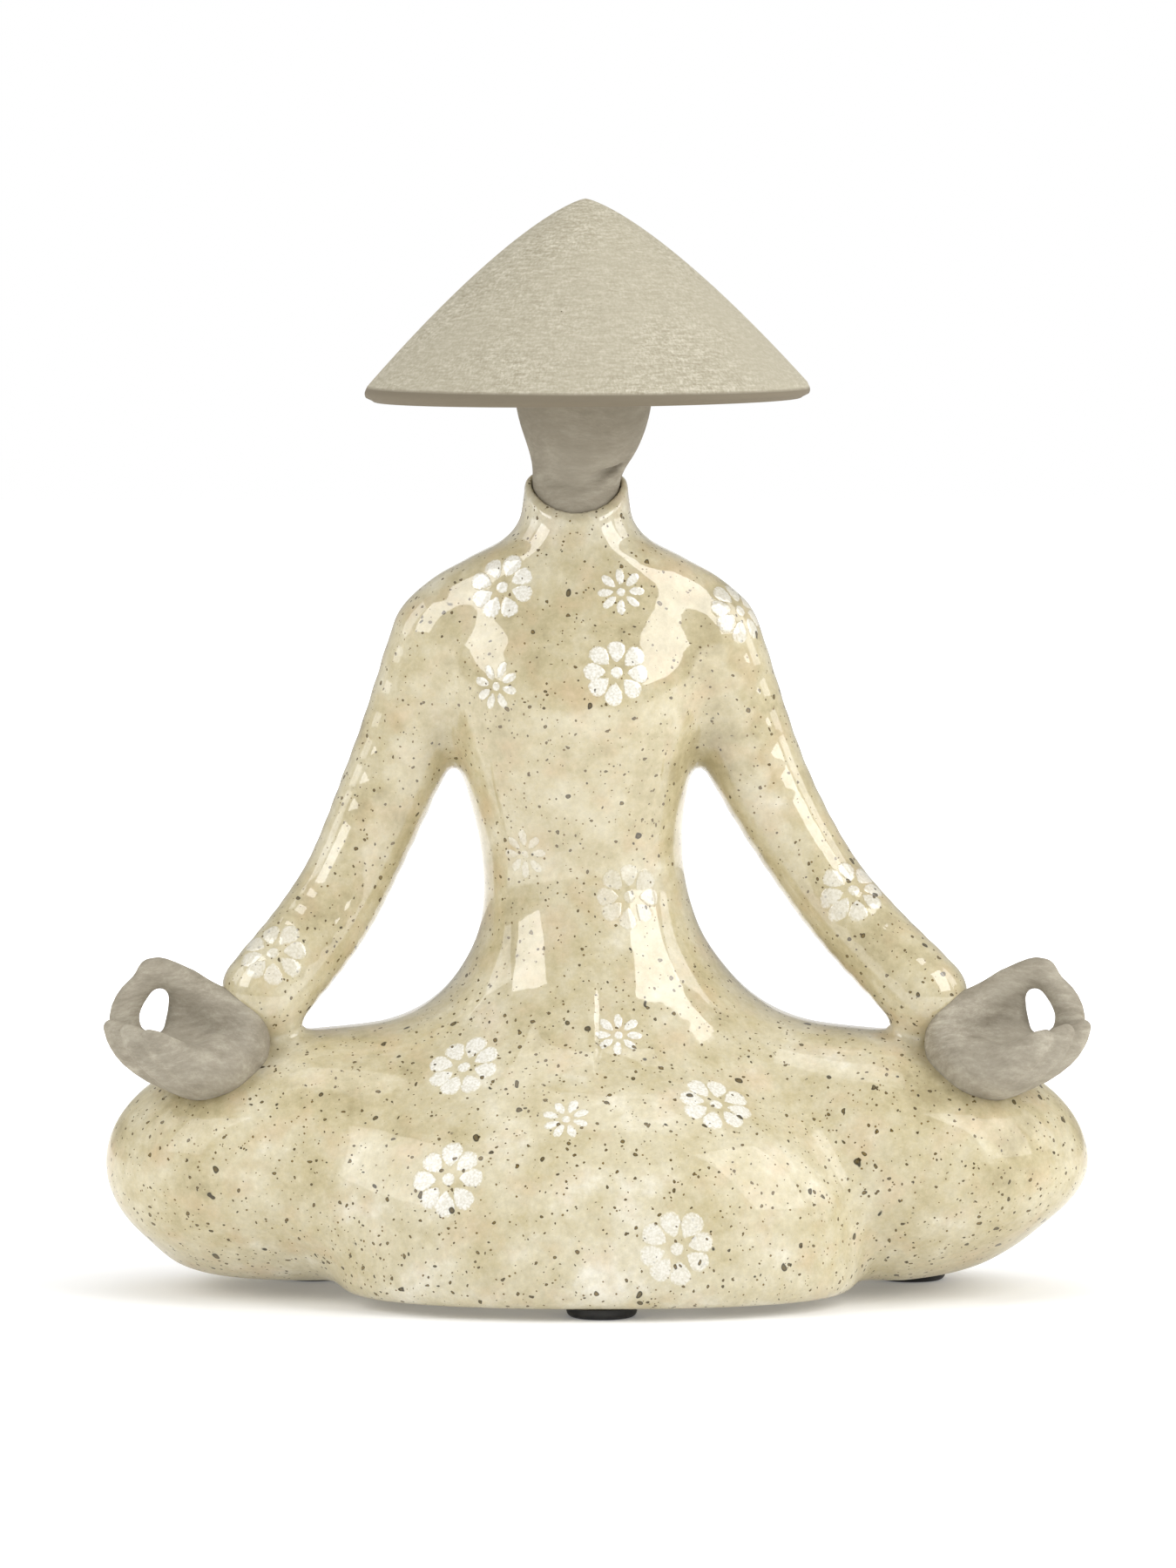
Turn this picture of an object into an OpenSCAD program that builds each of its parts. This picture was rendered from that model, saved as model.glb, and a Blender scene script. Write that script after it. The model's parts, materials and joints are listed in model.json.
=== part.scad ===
// A ceramic ornament of a seated, meditating lady in a wide conical hat.
// The robe is a hollow glazed casting with the two sleeves luted on to it.
// Head, hat and hands are bare matt clay, and three rubber pads lie under the base.
// Millimetres, +Z up, the lady faces -Y, and her own left hand is on the +X side.
// The origin is on the floor, under the middle of the outer box.

/* [Lap] */
// Half the width across the knees
knee_reach = 113; // [108:1:116]
// How far the crossed shins come forward of the middle
shin_reach = 56; // [52:1:58]
// Height of the knee's widest point above the floor
knee_z = 30; // [28:1:32]

/* [Trunk] */
// Sideways lean of the shoulders against the knees
shoulder_lean = 4.8; // [0:0.2:6]
// Height of the collar at the nape
nape_z = 188; // [187:0.5:190]
// How much lower the collar is at the throat
throat_drop = 9.5; // [6:0.5:11]
// How far behind the middle the neck and the hat stand
neck_y = 5; // [4:0.5:6]

/* [Casting] */
// Thickness of the cast wall
wall = 4.5; // [3.5:0.5:5.5]
// Radius of the bore in the collar that takes the neck
collar_bore_r = 10.2; // [9.8:0.1:10.4]
// Radius of the vent hole in the base, which lets the kiln's hot air out
vent_r = 1.5; // [1:0.25:2]

/* [Hat] */
// Radius of the hat over its rim
hat_r = 51; // [48:1:54]
// Height of the rim's lower edge above the floor
rim_z = 205; // [203:1:207]
// Height of the hat from the rim's lower edge to its tip
hat_h = 46; // [44:1:48]
// Height of the upright edge of the rim
rim_edge = 2.6; // [2:0.2:3.4]
// Width of the rim's underside
rim_land = 4.5; // [3.5:0.5:6]
// Tilt of the hat, in degrees, with its +X side up
hat_tilt = 0.6; // [0:0.1:1]

/* [Pads] */
// Radius of each rubber pad
pad_r = 8; // [6:0.5:9]
// Thickness of each rubber pad
pad_t = 2.5; // [2:0.25:3]

/* [Hidden] */

glaze_cream = "#E3D9B8";
bare_clay = "#A0988A";
hat_clay = "#BDB5A4";
pad_black = "#1B1B1B";

// ---------------------------------------------------------------- blended forms
// Each form is a function of a point: negative inside, zero on the surface.

function clamp(v, low, high) = min(high, max(low, v));

function smooth_min(a, b, blend) =
  let (overlap = max(blend - abs(a - b), 0) / blend)
  min(a, b) - overlap * overlap * blend / 4;

function smooth_max(a, b, blend) = -smooth_min(-a, -b, blend);

function ellipsoid(p, middle, half) =
  let (q = p - middle)
  let (u = [q.x / half.x, q.y / half.y, q.z / half.z])
  let (v = [u.x / half.x, u.y / half.y, u.z / half.z])
  norm(u) * (norm(u) - 1) / max(norm(v), 0.000001);

function tapered_limb(p, a, b, ra, rb) =
  let (along = b - a)
  let (t = clamp((p - a) * along / (along * along), 0, 1))
  norm(p - a - t * along) - ra - t * (rb - ra);

// A smooth curve through rows of numbers; the first number of a row says where it is.
function span_at(rows, where, i = 0) =
  i >= len(rows) - 2 || where < rows[i + 1][0] ? i : span_at(rows, where, i + 1);

function on_curve(rows, where) =
  let (i = span_at(rows, where))
  let (a = rows[i], b = rows[i + 1])
  let (before = rows[max(i - 1, 0)], after = rows[min(i + 2, len(rows) - 1)])
  let (gap = b[0] - a[0], t = clamp((where - a[0]) / gap, 0, 1))
  let (slope_a = (b - before) * gap / (b[0] - before[0]))
  let (slope_b = (after - a) * gap / (after[0] - a[0]))
  (1 + 2 * t) * (1 - t) * (1 - t) * a + t * (1 - t) * (1 - t) * slope_a
  + t * t * (3 - 2 * t) * b + t * t * (t - 1) * slope_b;

// ---------------------------------------------------------------- lap and trunk

// How far the figure stands off the knees' middle at a height: it leans a little to -X,
// starting at the top of the lap and in full from the waist up
lean_start_z = 55;
lean_full_z = 125;
function lean(z) =
  let (t = clamp((z - lean_start_z) / (lean_full_z - lean_start_z), 0, 1))
  -shoulder_lean * t * t * (3 - 2 * t);

// Trunk sections: height, half width, half depth, how far behind the middle
trunk_sections = [
  [50, 38, 36, 6],
  [62, 34, 31, 6.5],
  [74, 29.3, 25.5, 7],
  [86, 24.7, 21, 7],
  [97, 23.2, 19, 7],
  [107, 23.8, 19.8, 6],
  [118, 26, 21.2, 5],
  [130, 28.5, 23, 3.4],
  [140, 31, 23, 3.4],
  [148, 33, 21.2, 4.4],
  [154, 34.5, 19, 5.4],
  [160, 34, 16.8, 6],
  [165, 31, 15.2, 6],
  [169, 24.5, 14.2, 6],
  [173, 17, 13.4, 5.8],
  [177, 13.4, 12.8, 5.4],
  [182, 12.2, 12.4, 5],
  [188, 11.6, 11.8, 5],
  [194, 11.3, 11.5, 5]
];
trunk_foot = trunk_sections[0][0];
trunk_rows = [for (z = [trunk_foot:1:194]) on_curve(trunk_sections, z)];

function trunk_row(z) =
  let (u = clamp(z - trunk_foot, 0, len(trunk_rows) - 1.001))
  let (i = floor(u))
  trunk_rows[i] + (u - i) * (trunk_rows[i + 1] - trunk_rows[i]);

function trunk(p) =
  let (row = trunk_row(p.z))
  let (x = p.x - lean(p.z), y = p.y - row[3])
  let (reach = norm([x / row[1], y / row[2]]))
  let (steepness = norm([x / (row[1] * row[1]), y / (row[2] * row[2])]))
  smooth_max(reach * (reach - 1) / max(steepness, 0.000001), trunk_foot - p.z, 2);

function lap(p) =
  let (q = [abs(p.x), p.y, p.z])
  let (thigh = tapered_limb(q, [22, 4, 34], [58, -1, 33], 28, 26.5))
  let (knee = ellipsoid(q, [knee_reach - 40, 2, knee_z], [40, 33, 27]))
  let (seat = ellipsoid(q, [0, 20, 24], [58, 35, 36]))
  let (heel = ellipsoid(q, [68, 18, 14], [30, 24, 13]))
  let (shins = ellipsoid(q, [0, 39.5 - shin_reach, 15], [62, 39.5, 40]))
  let (leg = smooth_min(smooth_min(smooth_min(thigh, knee, 10), seat, 14), heel, 14))
  smooth_min(leg, shins, 8);

// Lap and trunk in one, cut level at the base
function robe(p) =
  let (figure = p.z < 140 ? smooth_min(lap(p), trunk(p), 24) : trunk(p))
  p.z < 40 ? smooth_max(figure, pad_t - p.z, 5) : figure;

// ---------------------------------------------------------------- skin of the casting
// The surface is found along rays. In the lap they start on a level spine that runs from
// knee to knee, and they fan from the base upwards. Then the spine shrinks to a point
// that climbs the trunk, where the rays are level.

columns = 60;
headings = [for (c = [0:columns - 1]) [cos(360 * c / columns), sin(360 * c / columns), 0]];
lap_core_z = 30;
waist_z = 97;
half_spine = 62;
ray_reach = 110;
bisections = 15;

function meet(from, way, near, far, inset, left) =
  let (mid = (near + far) / 2)
  left == 0
    ? from + way * mid
    : robe(from + way * mid) + inset < 0
      ? meet(from, way, mid, far, inset, left - 1)
      : meet(from, way, near, mid, inset, left - 1);

// A fan is its core's height, its lift in degrees, the extra lift sideways, and half its spine
function ray_ring(fan, inset) = [
  for (heading = headings)
    let (lift = fan[1] + fan[2] * heading.x * heading.x)
    meet(
      [lean(fan[0]) + fan[3] * heading.x, neck_y, fan[0]],
      cos(lift) * heading + [0, 0, sin(lift)],
      0, ray_reach, inset, bisections
    )
];

function lap_fan(lift) = [lap_core_z, lift, max(0, lift - 20) * 5 / 6, half_spine];

function waist_fan(core_z) =
  let (climb = (core_z - lap_core_z) / (waist_z - lap_core_z))
  [core_z, 50 * cos(90 * climb), 25 * (1 - climb), half_spine * pow(1 - climb, 1.6)];

function level_fan(z) = [z, 0, 0, 0];

function disc_ring(radius, z) = [
  for (heading = headings)
    [lean(z), neck_y, z] + radius * heading
];

// The collar's edge dips from the nape to the throat
function collar_z(y) = nape_z - throat_drop * pow(clamp((11 - y) / 18, 0, 1), 1.5);

function collar_ring(rise) = [
  for (heading = headings)
    let (z = 177 + rise * (collar_z(neck_y + 11.8 * heading.y) - 177))
    meet([lean(z), neck_y, z], heading, 0, ray_reach, 0, bisections)
];

collar_mouth = [
  for (heading = headings)
    let (z = collar_z(neck_y + 11.8 * heading.y))
    [lean(z), neck_y, z] + collar_bore_r * heading
];

outer_lifts = [-75, -60, -46, -35, -30, -26, -22, -17, -11, -5, 1, 7, 13, 19, 25, 31, 37, 43, 50];
outer_levels = [
  97, 103, 109, 115, 121, 127, 133, 139, 145, 150, 155, 159, 162, 165, 167, 169, 171, 173, 175
];

function outer_rings() = concat(
  [disc_ring(vent_r, pad_t)],
  [for (lift = outer_lifts) ray_ring(lap_fan(lift), 0)],
  [for (core_z = [38:8:94]) ray_ring(waist_fan(core_z), 0)],
  [for (z = outer_levels) ray_ring(level_fan(z), 0)],
  [for (rise = [0, 0.35, 0.7, 1]) collar_ring(rise)]
);

function inner_rings() = concat(
  [collar_mouth],
  [disc_ring(collar_bore_r, 168)],
  [for (z = [163, 156, 147, 137, 127, 117, 107, 97]) ray_ring(level_fan(z), wall)],
  [for (core_z = [86, 70, 54, 38]) ray_ring(waist_fan(core_z), wall)],
  [for (lift = [50, 37, 25, 13, 1, -11, -23, -38, -60]) ray_ring(lap_fan(lift), wall)],
  [disc_ring(vent_r, pad_t + wall)]
);

function band_faces(low, high) = [
  for (c = [0:columns - 1], half = [0, 1])
    let (d = (c + 1) % columns)
    half == 0
      ? [low * columns + c, high * columns + c, high * columns + d]
      : [low * columns + c, high * columns + d, low * columns + d]
];

// Rings joined in a loop: up the outside, over the collar, and back down the inside
module hollow_skin(rings) {
  count = len(rings);
  polyhedron(
    points = [for (ring = rings, point = ring) point],
    faces = [for (r = [0:count - 1], face = band_faces(r, (r + 1) % count)) face]
  );
}

// The same outside filled in, to cut whatever is pressed against the casting
module robe_block() {
  rings = outer_rings();
  count = len(rings);
  foot = count * columns;
  polyhedron(
    points = concat(
      [for (ring = rings, point = ring) point],
      [[lean(0), neck_y, pad_t], [lean(nape_z), neck_y, nape_z]]
    ),
    faces = concat(
      [for (r = [0:count - 2], face = band_faces(r, r + 1)) face],
      [for (c = [0:columns - 1]) [foot, c, (c + 1) % columns]],
      [
        for (c = [0:columns - 1])
          [foot + 1, foot - columns + (c + 1) % columns, foot - columns + c]
      ]
    )
  );
}

module body() {
  color(glaze_cream)
    hollow_skin(concat(outer_rings(), inner_rings()));
}

// ---------------------------------------------------------------- sleeves and hands
// Limbs are rows of round knuckles: x, y, z and radius, on the +X side of the figure.

// Sleeve from the shoulder to the wrist, with a number along the arm in front
sleeve_run = [
  [0, 30, 6, 150, 12.5],
  [1, 41, 7, 121.5, 10.8],
  [2, 52.6, 6, 98, 9.6],
  [3, 62, 1, 84.3, 10.2],
  [4, 75, -6, 70.5, 11]
];

// The palm is a cupped sheet between three rows of knuckles, thumb side first
palm_rows = [
  [[82, -8, 62.5, 7.6], [89.5, -8, 64, 6.4], [95, -10, 61, 4.8]],
  [[80, -12, 59, 8.6], [88, -15, 57, 7.4], [94, -16, 55.5, 6]],
  [[82, -16, 54.5, 8], [88, -20.5, 53, 7.2], [94, -22.5, 53.5, 5.8]]
];
thumb = [[87, -8, 66, 6.2], [94, -8.5, 70.3, 4.8], [100.5, -10, 74.2, 3.9], [105.5, -11, 75, 3.4]];
index_finger = [
  [94, -13, 58, 5],
  [102.5, -13, 57.5, 4.3],
  [108, -12.5, 62.5, 3.6],
  [109.2, -12, 68.5, 3.2],
  [107, -11.5, 73.6, 3]
];
middle_finger = [[93, -17, 55, 5.6], [100, -18, 55.6, 4.8], [106, -18, 59, 4.1], [109.4, -17, 63.2, 3]];
ring_finger = [
  [91, -20.5, 53.5, 5.8],
  [98.5, -22, 54.2, 5],
  [104.2, -22.5, 57.8, 4.1],
  [107.3, -21.5, 62.6, 2.9]
];
little_finger = [[88, -23, 53, 5.8], [94, -25.5, 53.2, 4.9], [98.6, -26, 56, 4], [101.4, -25, 60.6, 2.9]];
fingers = [thumb, index_finger, middle_finger, ring_finger, little_finger];

module knuckle(k) {
  translate([k[0], k[1], k[2]])
    sphere(r = k[3], $fn = 16);
}

module limb(knuckles) {
  for (i = [0:len(knuckles) - 2])
    hull() {
      knuckle(knuckles[i]);
      knuckle(knuckles[i + 1]);
    }
}

// The sleeve leans with the trunk at the shoulder and stays square with the lap at the wrist
module sleeve_form(side) {
  knuckles = [
    for (t = [0:0.4:4])
      let (row = on_curve(sleeve_run, t))
      [side * row[1] + lean(row[3]), row[2], row[3], row[4]]
  ];
  limb(knuckles);
}

module hand_form() {
  for (r = [0:1], i = [0:1])
    hull() {
      knuckle(palm_rows[r][i]);
      knuckle(palm_rows[r][i + 1]);
      knuckle(palm_rows[r + 1][i]);
      knuckle(palm_rows[r + 1][i + 1]);
    }
  for (finger = fingers)
    limb(finger);
}

// side is 1 for the lady's left arm at +X, and -1 for her right arm at -X
module on_side(side) {
  mirror([side < 0 ? 1 : 0, 0, 0])
    children();
}

module sleeve(side) {
  color(glaze_cream)
    difference() {
      sleeve_form(side);
      robe_block();
      on_side(side)
        hand_form();
    }
}

module hand(side) {
  color(bare_clay)
    difference() {
      on_side(side)
        hand_form();
      robe_block();
    }
}

module left_sleeve() {
  sleeve(1);
}

module right_sleeve() {
  sleeve(-1);
}

module left_hand() {
  hand(1);
}

module right_hand() {
  hand(-1);
}

// ---------------------------------------------------------------- head and hat

head_x = lean(200) + 1.7;
hat_x = lean(200) + 1.9;
crown_z = rim_z + 33;
crown_r = 12;
neck_foot_z = 168.5;
skull_z = rim_z + 6;

// A smooth blank face over a plain neck, with a flat crown for the hat to sit on
module head() {
  color(bare_clay) {
    hull() {
      translate([head_x, neck_y - 1, skull_z])
        scale([16, 17, 26])
          sphere(r = 1, $fn = 40);
      translate([head_x, neck_y, crown_z - 12])
        cylinder(r = crown_r, h = 12, $fn = 40);
    }
    translate([lean(180), neck_y, neck_foot_z])
      cylinder(r = collar_bore_r - 0.1, h = skull_z - neck_foot_z, $fn = 48);
  }
}

// The hat's slope falls from the tip as the radius to the power 4/3
tip_z = rim_z + hat_h;
slope_points = [
  for (i = [1:14])
    let (r = hat_r * pow(i / 14, 1.25))
    [r, tip_z - (hat_h - rim_edge) * pow(r / hat_r, 4 / 3)]
];
hat_profile = concat(
  [[0, crown_z], [0, tip_z]],
  slope_points,
  [
    [hat_r - 0.2, rim_z + 1.2],
    [hat_r - 0.9, rim_z + 0.3],
    [hat_r - 1.8, rim_z],
    [hat_r - rim_land, rim_z],
    [crown_r + 1.2, crown_z]
  ]
);

module hat() {
  color(hat_clay)
    translate([hat_x, neck_y, crown_z])
      rotate([0, -hat_tilt, 0])
        translate([0, 0, -crown_z])
          rotate_extrude($fn = 96)
            polygon(hat_profile);
}

// ---------------------------------------------------------------- pads

// Where each pad's middle is glued under the base
front_pad_at = [1, -43];
left_pad_at = [73, 24];
right_pad_at = [-66, 26];

module pad(at) {
  color(pad_black)
    translate([at.x, at.y, 0])
      cylinder(r = pad_r, h = pad_t, $fn = 48);
}

module front_pad() {
  pad(front_pad_at);
}

module left_pad() {
  pad(left_pad_at);
}

module right_pad() {
  pad(right_pad_at);
}

body();
left_sleeve();
right_sleeve();
left_hand();
right_hand();
head();
hat();
front_pad();
left_pad();
right_pad();
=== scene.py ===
import json
import math

import bmesh
import bpy
import numpy as np
from mathutils import Matrix, Vector

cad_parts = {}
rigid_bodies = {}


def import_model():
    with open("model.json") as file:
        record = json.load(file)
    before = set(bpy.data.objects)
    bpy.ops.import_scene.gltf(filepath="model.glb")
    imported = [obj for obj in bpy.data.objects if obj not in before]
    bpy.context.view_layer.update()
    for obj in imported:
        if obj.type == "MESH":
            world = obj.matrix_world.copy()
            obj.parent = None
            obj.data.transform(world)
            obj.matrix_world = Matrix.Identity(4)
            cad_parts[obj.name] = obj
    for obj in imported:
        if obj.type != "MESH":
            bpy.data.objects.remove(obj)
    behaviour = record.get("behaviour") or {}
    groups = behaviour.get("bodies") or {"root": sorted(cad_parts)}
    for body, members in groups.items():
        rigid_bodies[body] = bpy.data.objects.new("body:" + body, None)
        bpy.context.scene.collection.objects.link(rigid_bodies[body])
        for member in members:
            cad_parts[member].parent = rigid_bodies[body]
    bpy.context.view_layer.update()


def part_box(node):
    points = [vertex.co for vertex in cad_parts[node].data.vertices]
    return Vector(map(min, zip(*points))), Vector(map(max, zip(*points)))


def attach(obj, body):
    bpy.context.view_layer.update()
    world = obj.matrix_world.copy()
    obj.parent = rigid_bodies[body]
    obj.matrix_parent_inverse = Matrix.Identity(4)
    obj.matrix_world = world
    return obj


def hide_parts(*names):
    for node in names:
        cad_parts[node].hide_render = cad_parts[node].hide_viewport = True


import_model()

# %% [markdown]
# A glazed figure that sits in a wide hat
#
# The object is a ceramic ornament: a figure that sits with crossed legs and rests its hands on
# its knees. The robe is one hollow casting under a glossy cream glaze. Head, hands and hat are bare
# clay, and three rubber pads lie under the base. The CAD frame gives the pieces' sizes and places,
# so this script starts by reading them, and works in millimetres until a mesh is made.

MM = 0.001


def box_mm(node):
    """The lowest and highest corners of a CAD node, in millimetres."""
    low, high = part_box(node)
    return np.array(low) / MM, np.array(high) / MM


body_low, body_high = box_mm("body")
hat_low, hat_high = box_mm("hat")
head_low, head_high = box_mm("head")
knee_reach = (body_high[0] - body_low[0]) / 2
shin_reach = -body_low[1]
base_z = body_low[2]
nape_z = body_high[2]
neck_y = (hat_low[1] + hat_high[1]) / 2
print(f"knees {knee_reach:.1f}, shins {shin_reach:.1f}, base {base_z:.1f}, nape {nape_z:.1f} mm")

# %% [markdown]
# Forms as fields
#
# A cast and glazed figure has no hard edges: limbs run into each other through soft fillets.
# Polygons are clumsy at that, but a field is not. A field is a function of a point that is
# negative inside a form and zero on its skin. Two forms are joined by the smaller of their two
# values, and a smooth minimum rounds the joint by as many millimetres as it is given.

# %% The few functions that every form is made of
def smooth_min(a, b, blend):
    """Joins two fields with a fillet that is `blend` mm wide."""
    overlap = np.maximum(blend - np.abs(a - b), 0) / blend
    return np.minimum(a, b) - overlap * overlap * blend / 4


def smooth_max(a, b, blend):
    """Cuts one field with another and rounds the edge."""
    return -smooth_min(-a, -b, blend)


def ellipsoid(p, middle, half):
    """The distance to an ellipsoid, near enough for a skin, from its middle and half sizes."""
    u = (p - np.array(middle, float)) / np.array(half, float)
    v = u / np.array(half, float)
    reach = np.linalg.norm(u, axis=-1)
    return reach * (reach - 1) / np.maximum(np.linalg.norm(v, axis=-1), 1e-6)


def cushion(p, middle, half, power):
    """Like an ellipsoid, but fuller towards its corners the higher the power is above 2."""
    u = np.abs(p - np.array(middle, float)) / np.array(half, float) + 1e-9
    reach = (u ** power).sum(-1) ** (1 / power)
    slope = np.linalg.norm((u / reach[..., None]) ** (power - 1) / np.array(half, float), axis=-1)
    return (reach - 1) / np.maximum(slope, 1e-6)


def tapered_limb(p, a, b, ra, rb):
    """A round limb from a to b whose radius goes from ra to rb."""
    from_a = p - np.array(a, float)
    along = np.array(b, float) - np.array(a, float)
    length = math.sqrt(along @ along)
    ahead = from_a @ along / length
    aside = np.sqrt(np.maximum((from_a * from_a).sum(-1) - ahead * ahead, 0))
    taper = (ra - rb) / length
    t = np.clip((ahead - aside * taper / math.sqrt(1 - taper * taper)) / length, 0, 1)
    return np.hypot(aside, ahead - t * length) - ra - t * (rb - ra)


def knuckle_chain(p, knuckles, blend):
    """Limbs through a row of knuckles (x, y, z, radius)."""
    form = None
    for a, b in zip(knuckles[:-1], knuckles[1:]):
        limb = tapered_limb(p, a[:3], b[:3], a[3], b[3])
        form = limb if form is None else smooth_min(form, limb, blend)
    return form


def swept_limb(p, knuckles, count):
    """One smooth limb that sweeps through a few knuckles, as many short limbs."""
    rows = [(i, *knuckle) for i, knuckle in enumerate(knuckles)]
    return knuckle_chain(p, on_curve(rows, np.linspace(0, len(rows) - 1, count))[:, 1:], 0.02)


def on_curve(rows, where):
    """A smooth curve through rows of numbers; the first number of a row says where it is."""
    rows = np.array(rows, float)
    i = np.clip(np.searchsorted(rows[:, 0], where, side="right") - 1, 0, len(rows) - 2)
    a, b = rows[i], rows[i + 1]
    before, after = rows[np.maximum(i - 1, 0)], rows[np.minimum(i + 2, len(rows) - 1)]
    gap = (b[..., 0] - a[..., 0])[..., None]
    t = np.clip((where[..., None] - a[..., :1]) / gap, 0, 1)
    slope_a = (b - before) * gap / (b[..., :1] - before[..., :1])
    slope_b = (after - a) * gap / (after[..., :1] - a[..., :1])
    start = (1 + 2 * t) * (1 - t) ** 2 * a + t * (1 - t) ** 2 * slope_a
    return start + t * t * (3 - 2 * t) * b + t * t * (t - 1) * slope_b


def both_sides(p):
    """Folds space at the middle, so that one form is made on both sides."""
    return np.stack([np.abs(p[..., 0]), p[..., 1], p[..., 2]], -1)


# %% [markdown]
# From a field to a mesh
#
# The skin is found on a grid: each cell that the skin passes through gets one point, and the
# points of neighbouring cells are joined by four-sided faces. A glossy glaze shows every bump
# in its reflections, so the points are then relaxed towards their neighbours and put back on the
# field's exact zero, which leaves an even mesh with no trace of the grid.

# %% Surface nets, relaxed and put back on the field
def grid_lines(low, high, step, fine=None):
    """Where the grid's planes lie along one axis: every `step` mm, but closer in a fine stretch."""
    if fine is None:
        return np.linspace(low, high, int(math.ceil((high - low) / step)) + 1)
    start, end, close = max(fine[0], low), min(fine[1], high), fine[2]
    parts = [grid_lines(low, start, step)[:-1], grid_lines(start, end, close)]
    return np.concatenate(parts + ([grid_lines(end, high, step)[1:]] if end < high else []))


def surface_nets(field, axes):
    """Points and four-sided faces of the skin of a field, on a grid whose planes lie at `axes`."""
    count = [len(lines) for lines in axes]
    value = np.empty(count, np.float32)
    for k in range(0, count[2], 8):
        grid = np.meshgrid(axes[0], axes[1], axes[2][k:k + 8], indexing="ij")
        value[:, :, k:k + 8] = field(np.stack(grid, -1))
    inside = value < 0
    corners = [(a, b, c) for a in (0, 1) for b in (0, 1) for c in (0, 1)]
    filled = np.zeros([n - 1 for n in count], np.uint8)
    for a, b, c in corners:
        filled += inside[a:count[0] - 1 + a, b:count[1] - 1 + b, c:count[2] - 1 + c]
    crossed = (filled > 0) & (filled < 8)
    cells = np.argwhere(crossed)
    number = -np.ones(crossed.shape, np.int64)
    number[crossed] = np.arange(len(cells))
    total = np.zeros((len(cells), 3))
    hits = np.zeros(len(cells))
    for corner in corners:
        for axis in range(3):
            if corner[axis]:
                continue
            other = list(corner)
            other[axis] = 1
            here = value[tuple((cells + corner).T)]
            there = value[tuple((cells + other).T)]
            cut = (here < 0) != (there < 0)
            place = np.tile(np.array(corner, float), (len(cells), 1))
            place[:, axis] = np.where(cut, here / np.where(cut, here - there, 1), 0)
            total[cut] += place[cut]
            hits[cut] += 1
    part = total / hits[:, None]
    starts = np.stack([axes[i][cells[:, i]] for i in range(3)], 1)
    widths = np.stack([np.diff(axes[i])[cells[:, i]] for i in range(3)], 1)
    points = starts + part * widths
    faces = []
    for axis in range(3):
        a, b = (axis + 1) % 3, (axis + 2) % 3
        near = [slice(None)] * 3
        far = [slice(None)] * 3
        near[axis] = slice(0, count[axis] - 1)
        far[axis] = slice(1, count[axis])
        first = inside[tuple(near)]
        edges = np.argwhere(first != inside[tuple(far)])
        edges = edges[(edges[:, a] > 0) & (edges[:, b] > 0)]
        edges = edges[(edges[:, a] < count[a] - 1) & (edges[:, b] < count[b] - 1)]
        around = []
        for da, db in ((1, 1), (0, 1), (0, 0), (1, 0)):
            cell = edges.copy()
            cell[:, a] -= da
            cell[:, b] -= db
            around.append(number[tuple(cell.T)])
        quads = np.stack(around, 1)
        flip = ~first[tuple(edges.T)]
        quads[flip] = quads[flip][:, ::-1]
        faces.append(quads)
    return points, np.concatenate(faces)


def put_on_skin(field, points, rounds=2):
    """Moves each point along the field's slope until the field is zero there."""
    reach = 0.05
    for _ in range(rounds):
        value = field(points)
        slope = np.empty_like(points)
        for axis in range(3):
            shift = np.zeros(3)
            shift[axis] = reach
            slope[:, axis] = (field(points + shift) - field(points - shift)) / (2 * reach)
        length = np.maximum((slope * slope).sum(1), 0.05)
        move = -(value / length)[:, None] * slope
        size = np.linalg.norm(move, axis=1, keepdims=True)
        points = points + move * np.minimum(1, 0.6 / np.maximum(size, 1e-9))
    return points


def relax(points, faces, rounds=1):
    """Moves each point half way to the middle of its neighbours."""
    edges = np.concatenate([faces[:, [i, (i + 1) % 4]] for i in range(4)])
    for _ in range(rounds):
        total = np.zeros_like(points)
        for axis in range(3):
            total[:, axis] = np.bincount(edges[:, 0], points[edges[:, 1], axis], len(points))
        hits = np.bincount(edges[:, 0], minlength=len(points))
        points = 0.5 * points + 0.5 * total / np.maximum(hits, 1)[:, None]
    return points


def mesh_of(name, points, faces):
    """A smooth Blender mesh in metres from points in millimetres."""
    mesh = bpy.data.meshes.new(name)
    mesh.from_pydata((np.asarray(points) * MM).tolist(), [], [list(map(int, f)) for f in faces])
    mesh.shade_smooth()
    piece = bpy.data.objects.new(name, mesh)
    bpy.context.scene.collection.objects.link(piece)
    return piece


def skin_piece(name, field, low, high, step, fine=(None, None, None)):
    """A field's skin as a Blender object."""
    points, faces = surface_nets(field, [grid_lines(low[i], high[i], step, fine[i]) for i in range(3)])
    for _ in range(3):
        points = put_on_skin(field, relax(points, faces), 1)
    points = put_on_skin(field, points, 1)
    piece = mesh_of(name, points, faces)
    print(f"{name}: {len(points)} points, {len(faces)} faces")
    return piece


coarse = 1.0

# %% [markdown]
# The robe
#
# The robe is the casting: thighs, knees, crossed shins and seat make the lap, and oval sections
# make the trunk. Both arms are luted on before the glaze is poured, and the glaze fills the joints,
# so the whole coat is one skin here. Under it the CAD keeps the casting and the two sleeves apart.
# The forms were shaped by hand in wet clay, so the two knees differ: the one on +X is lifted a
# little at its outer end, and the crease beside the shins is sharper there.

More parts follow.
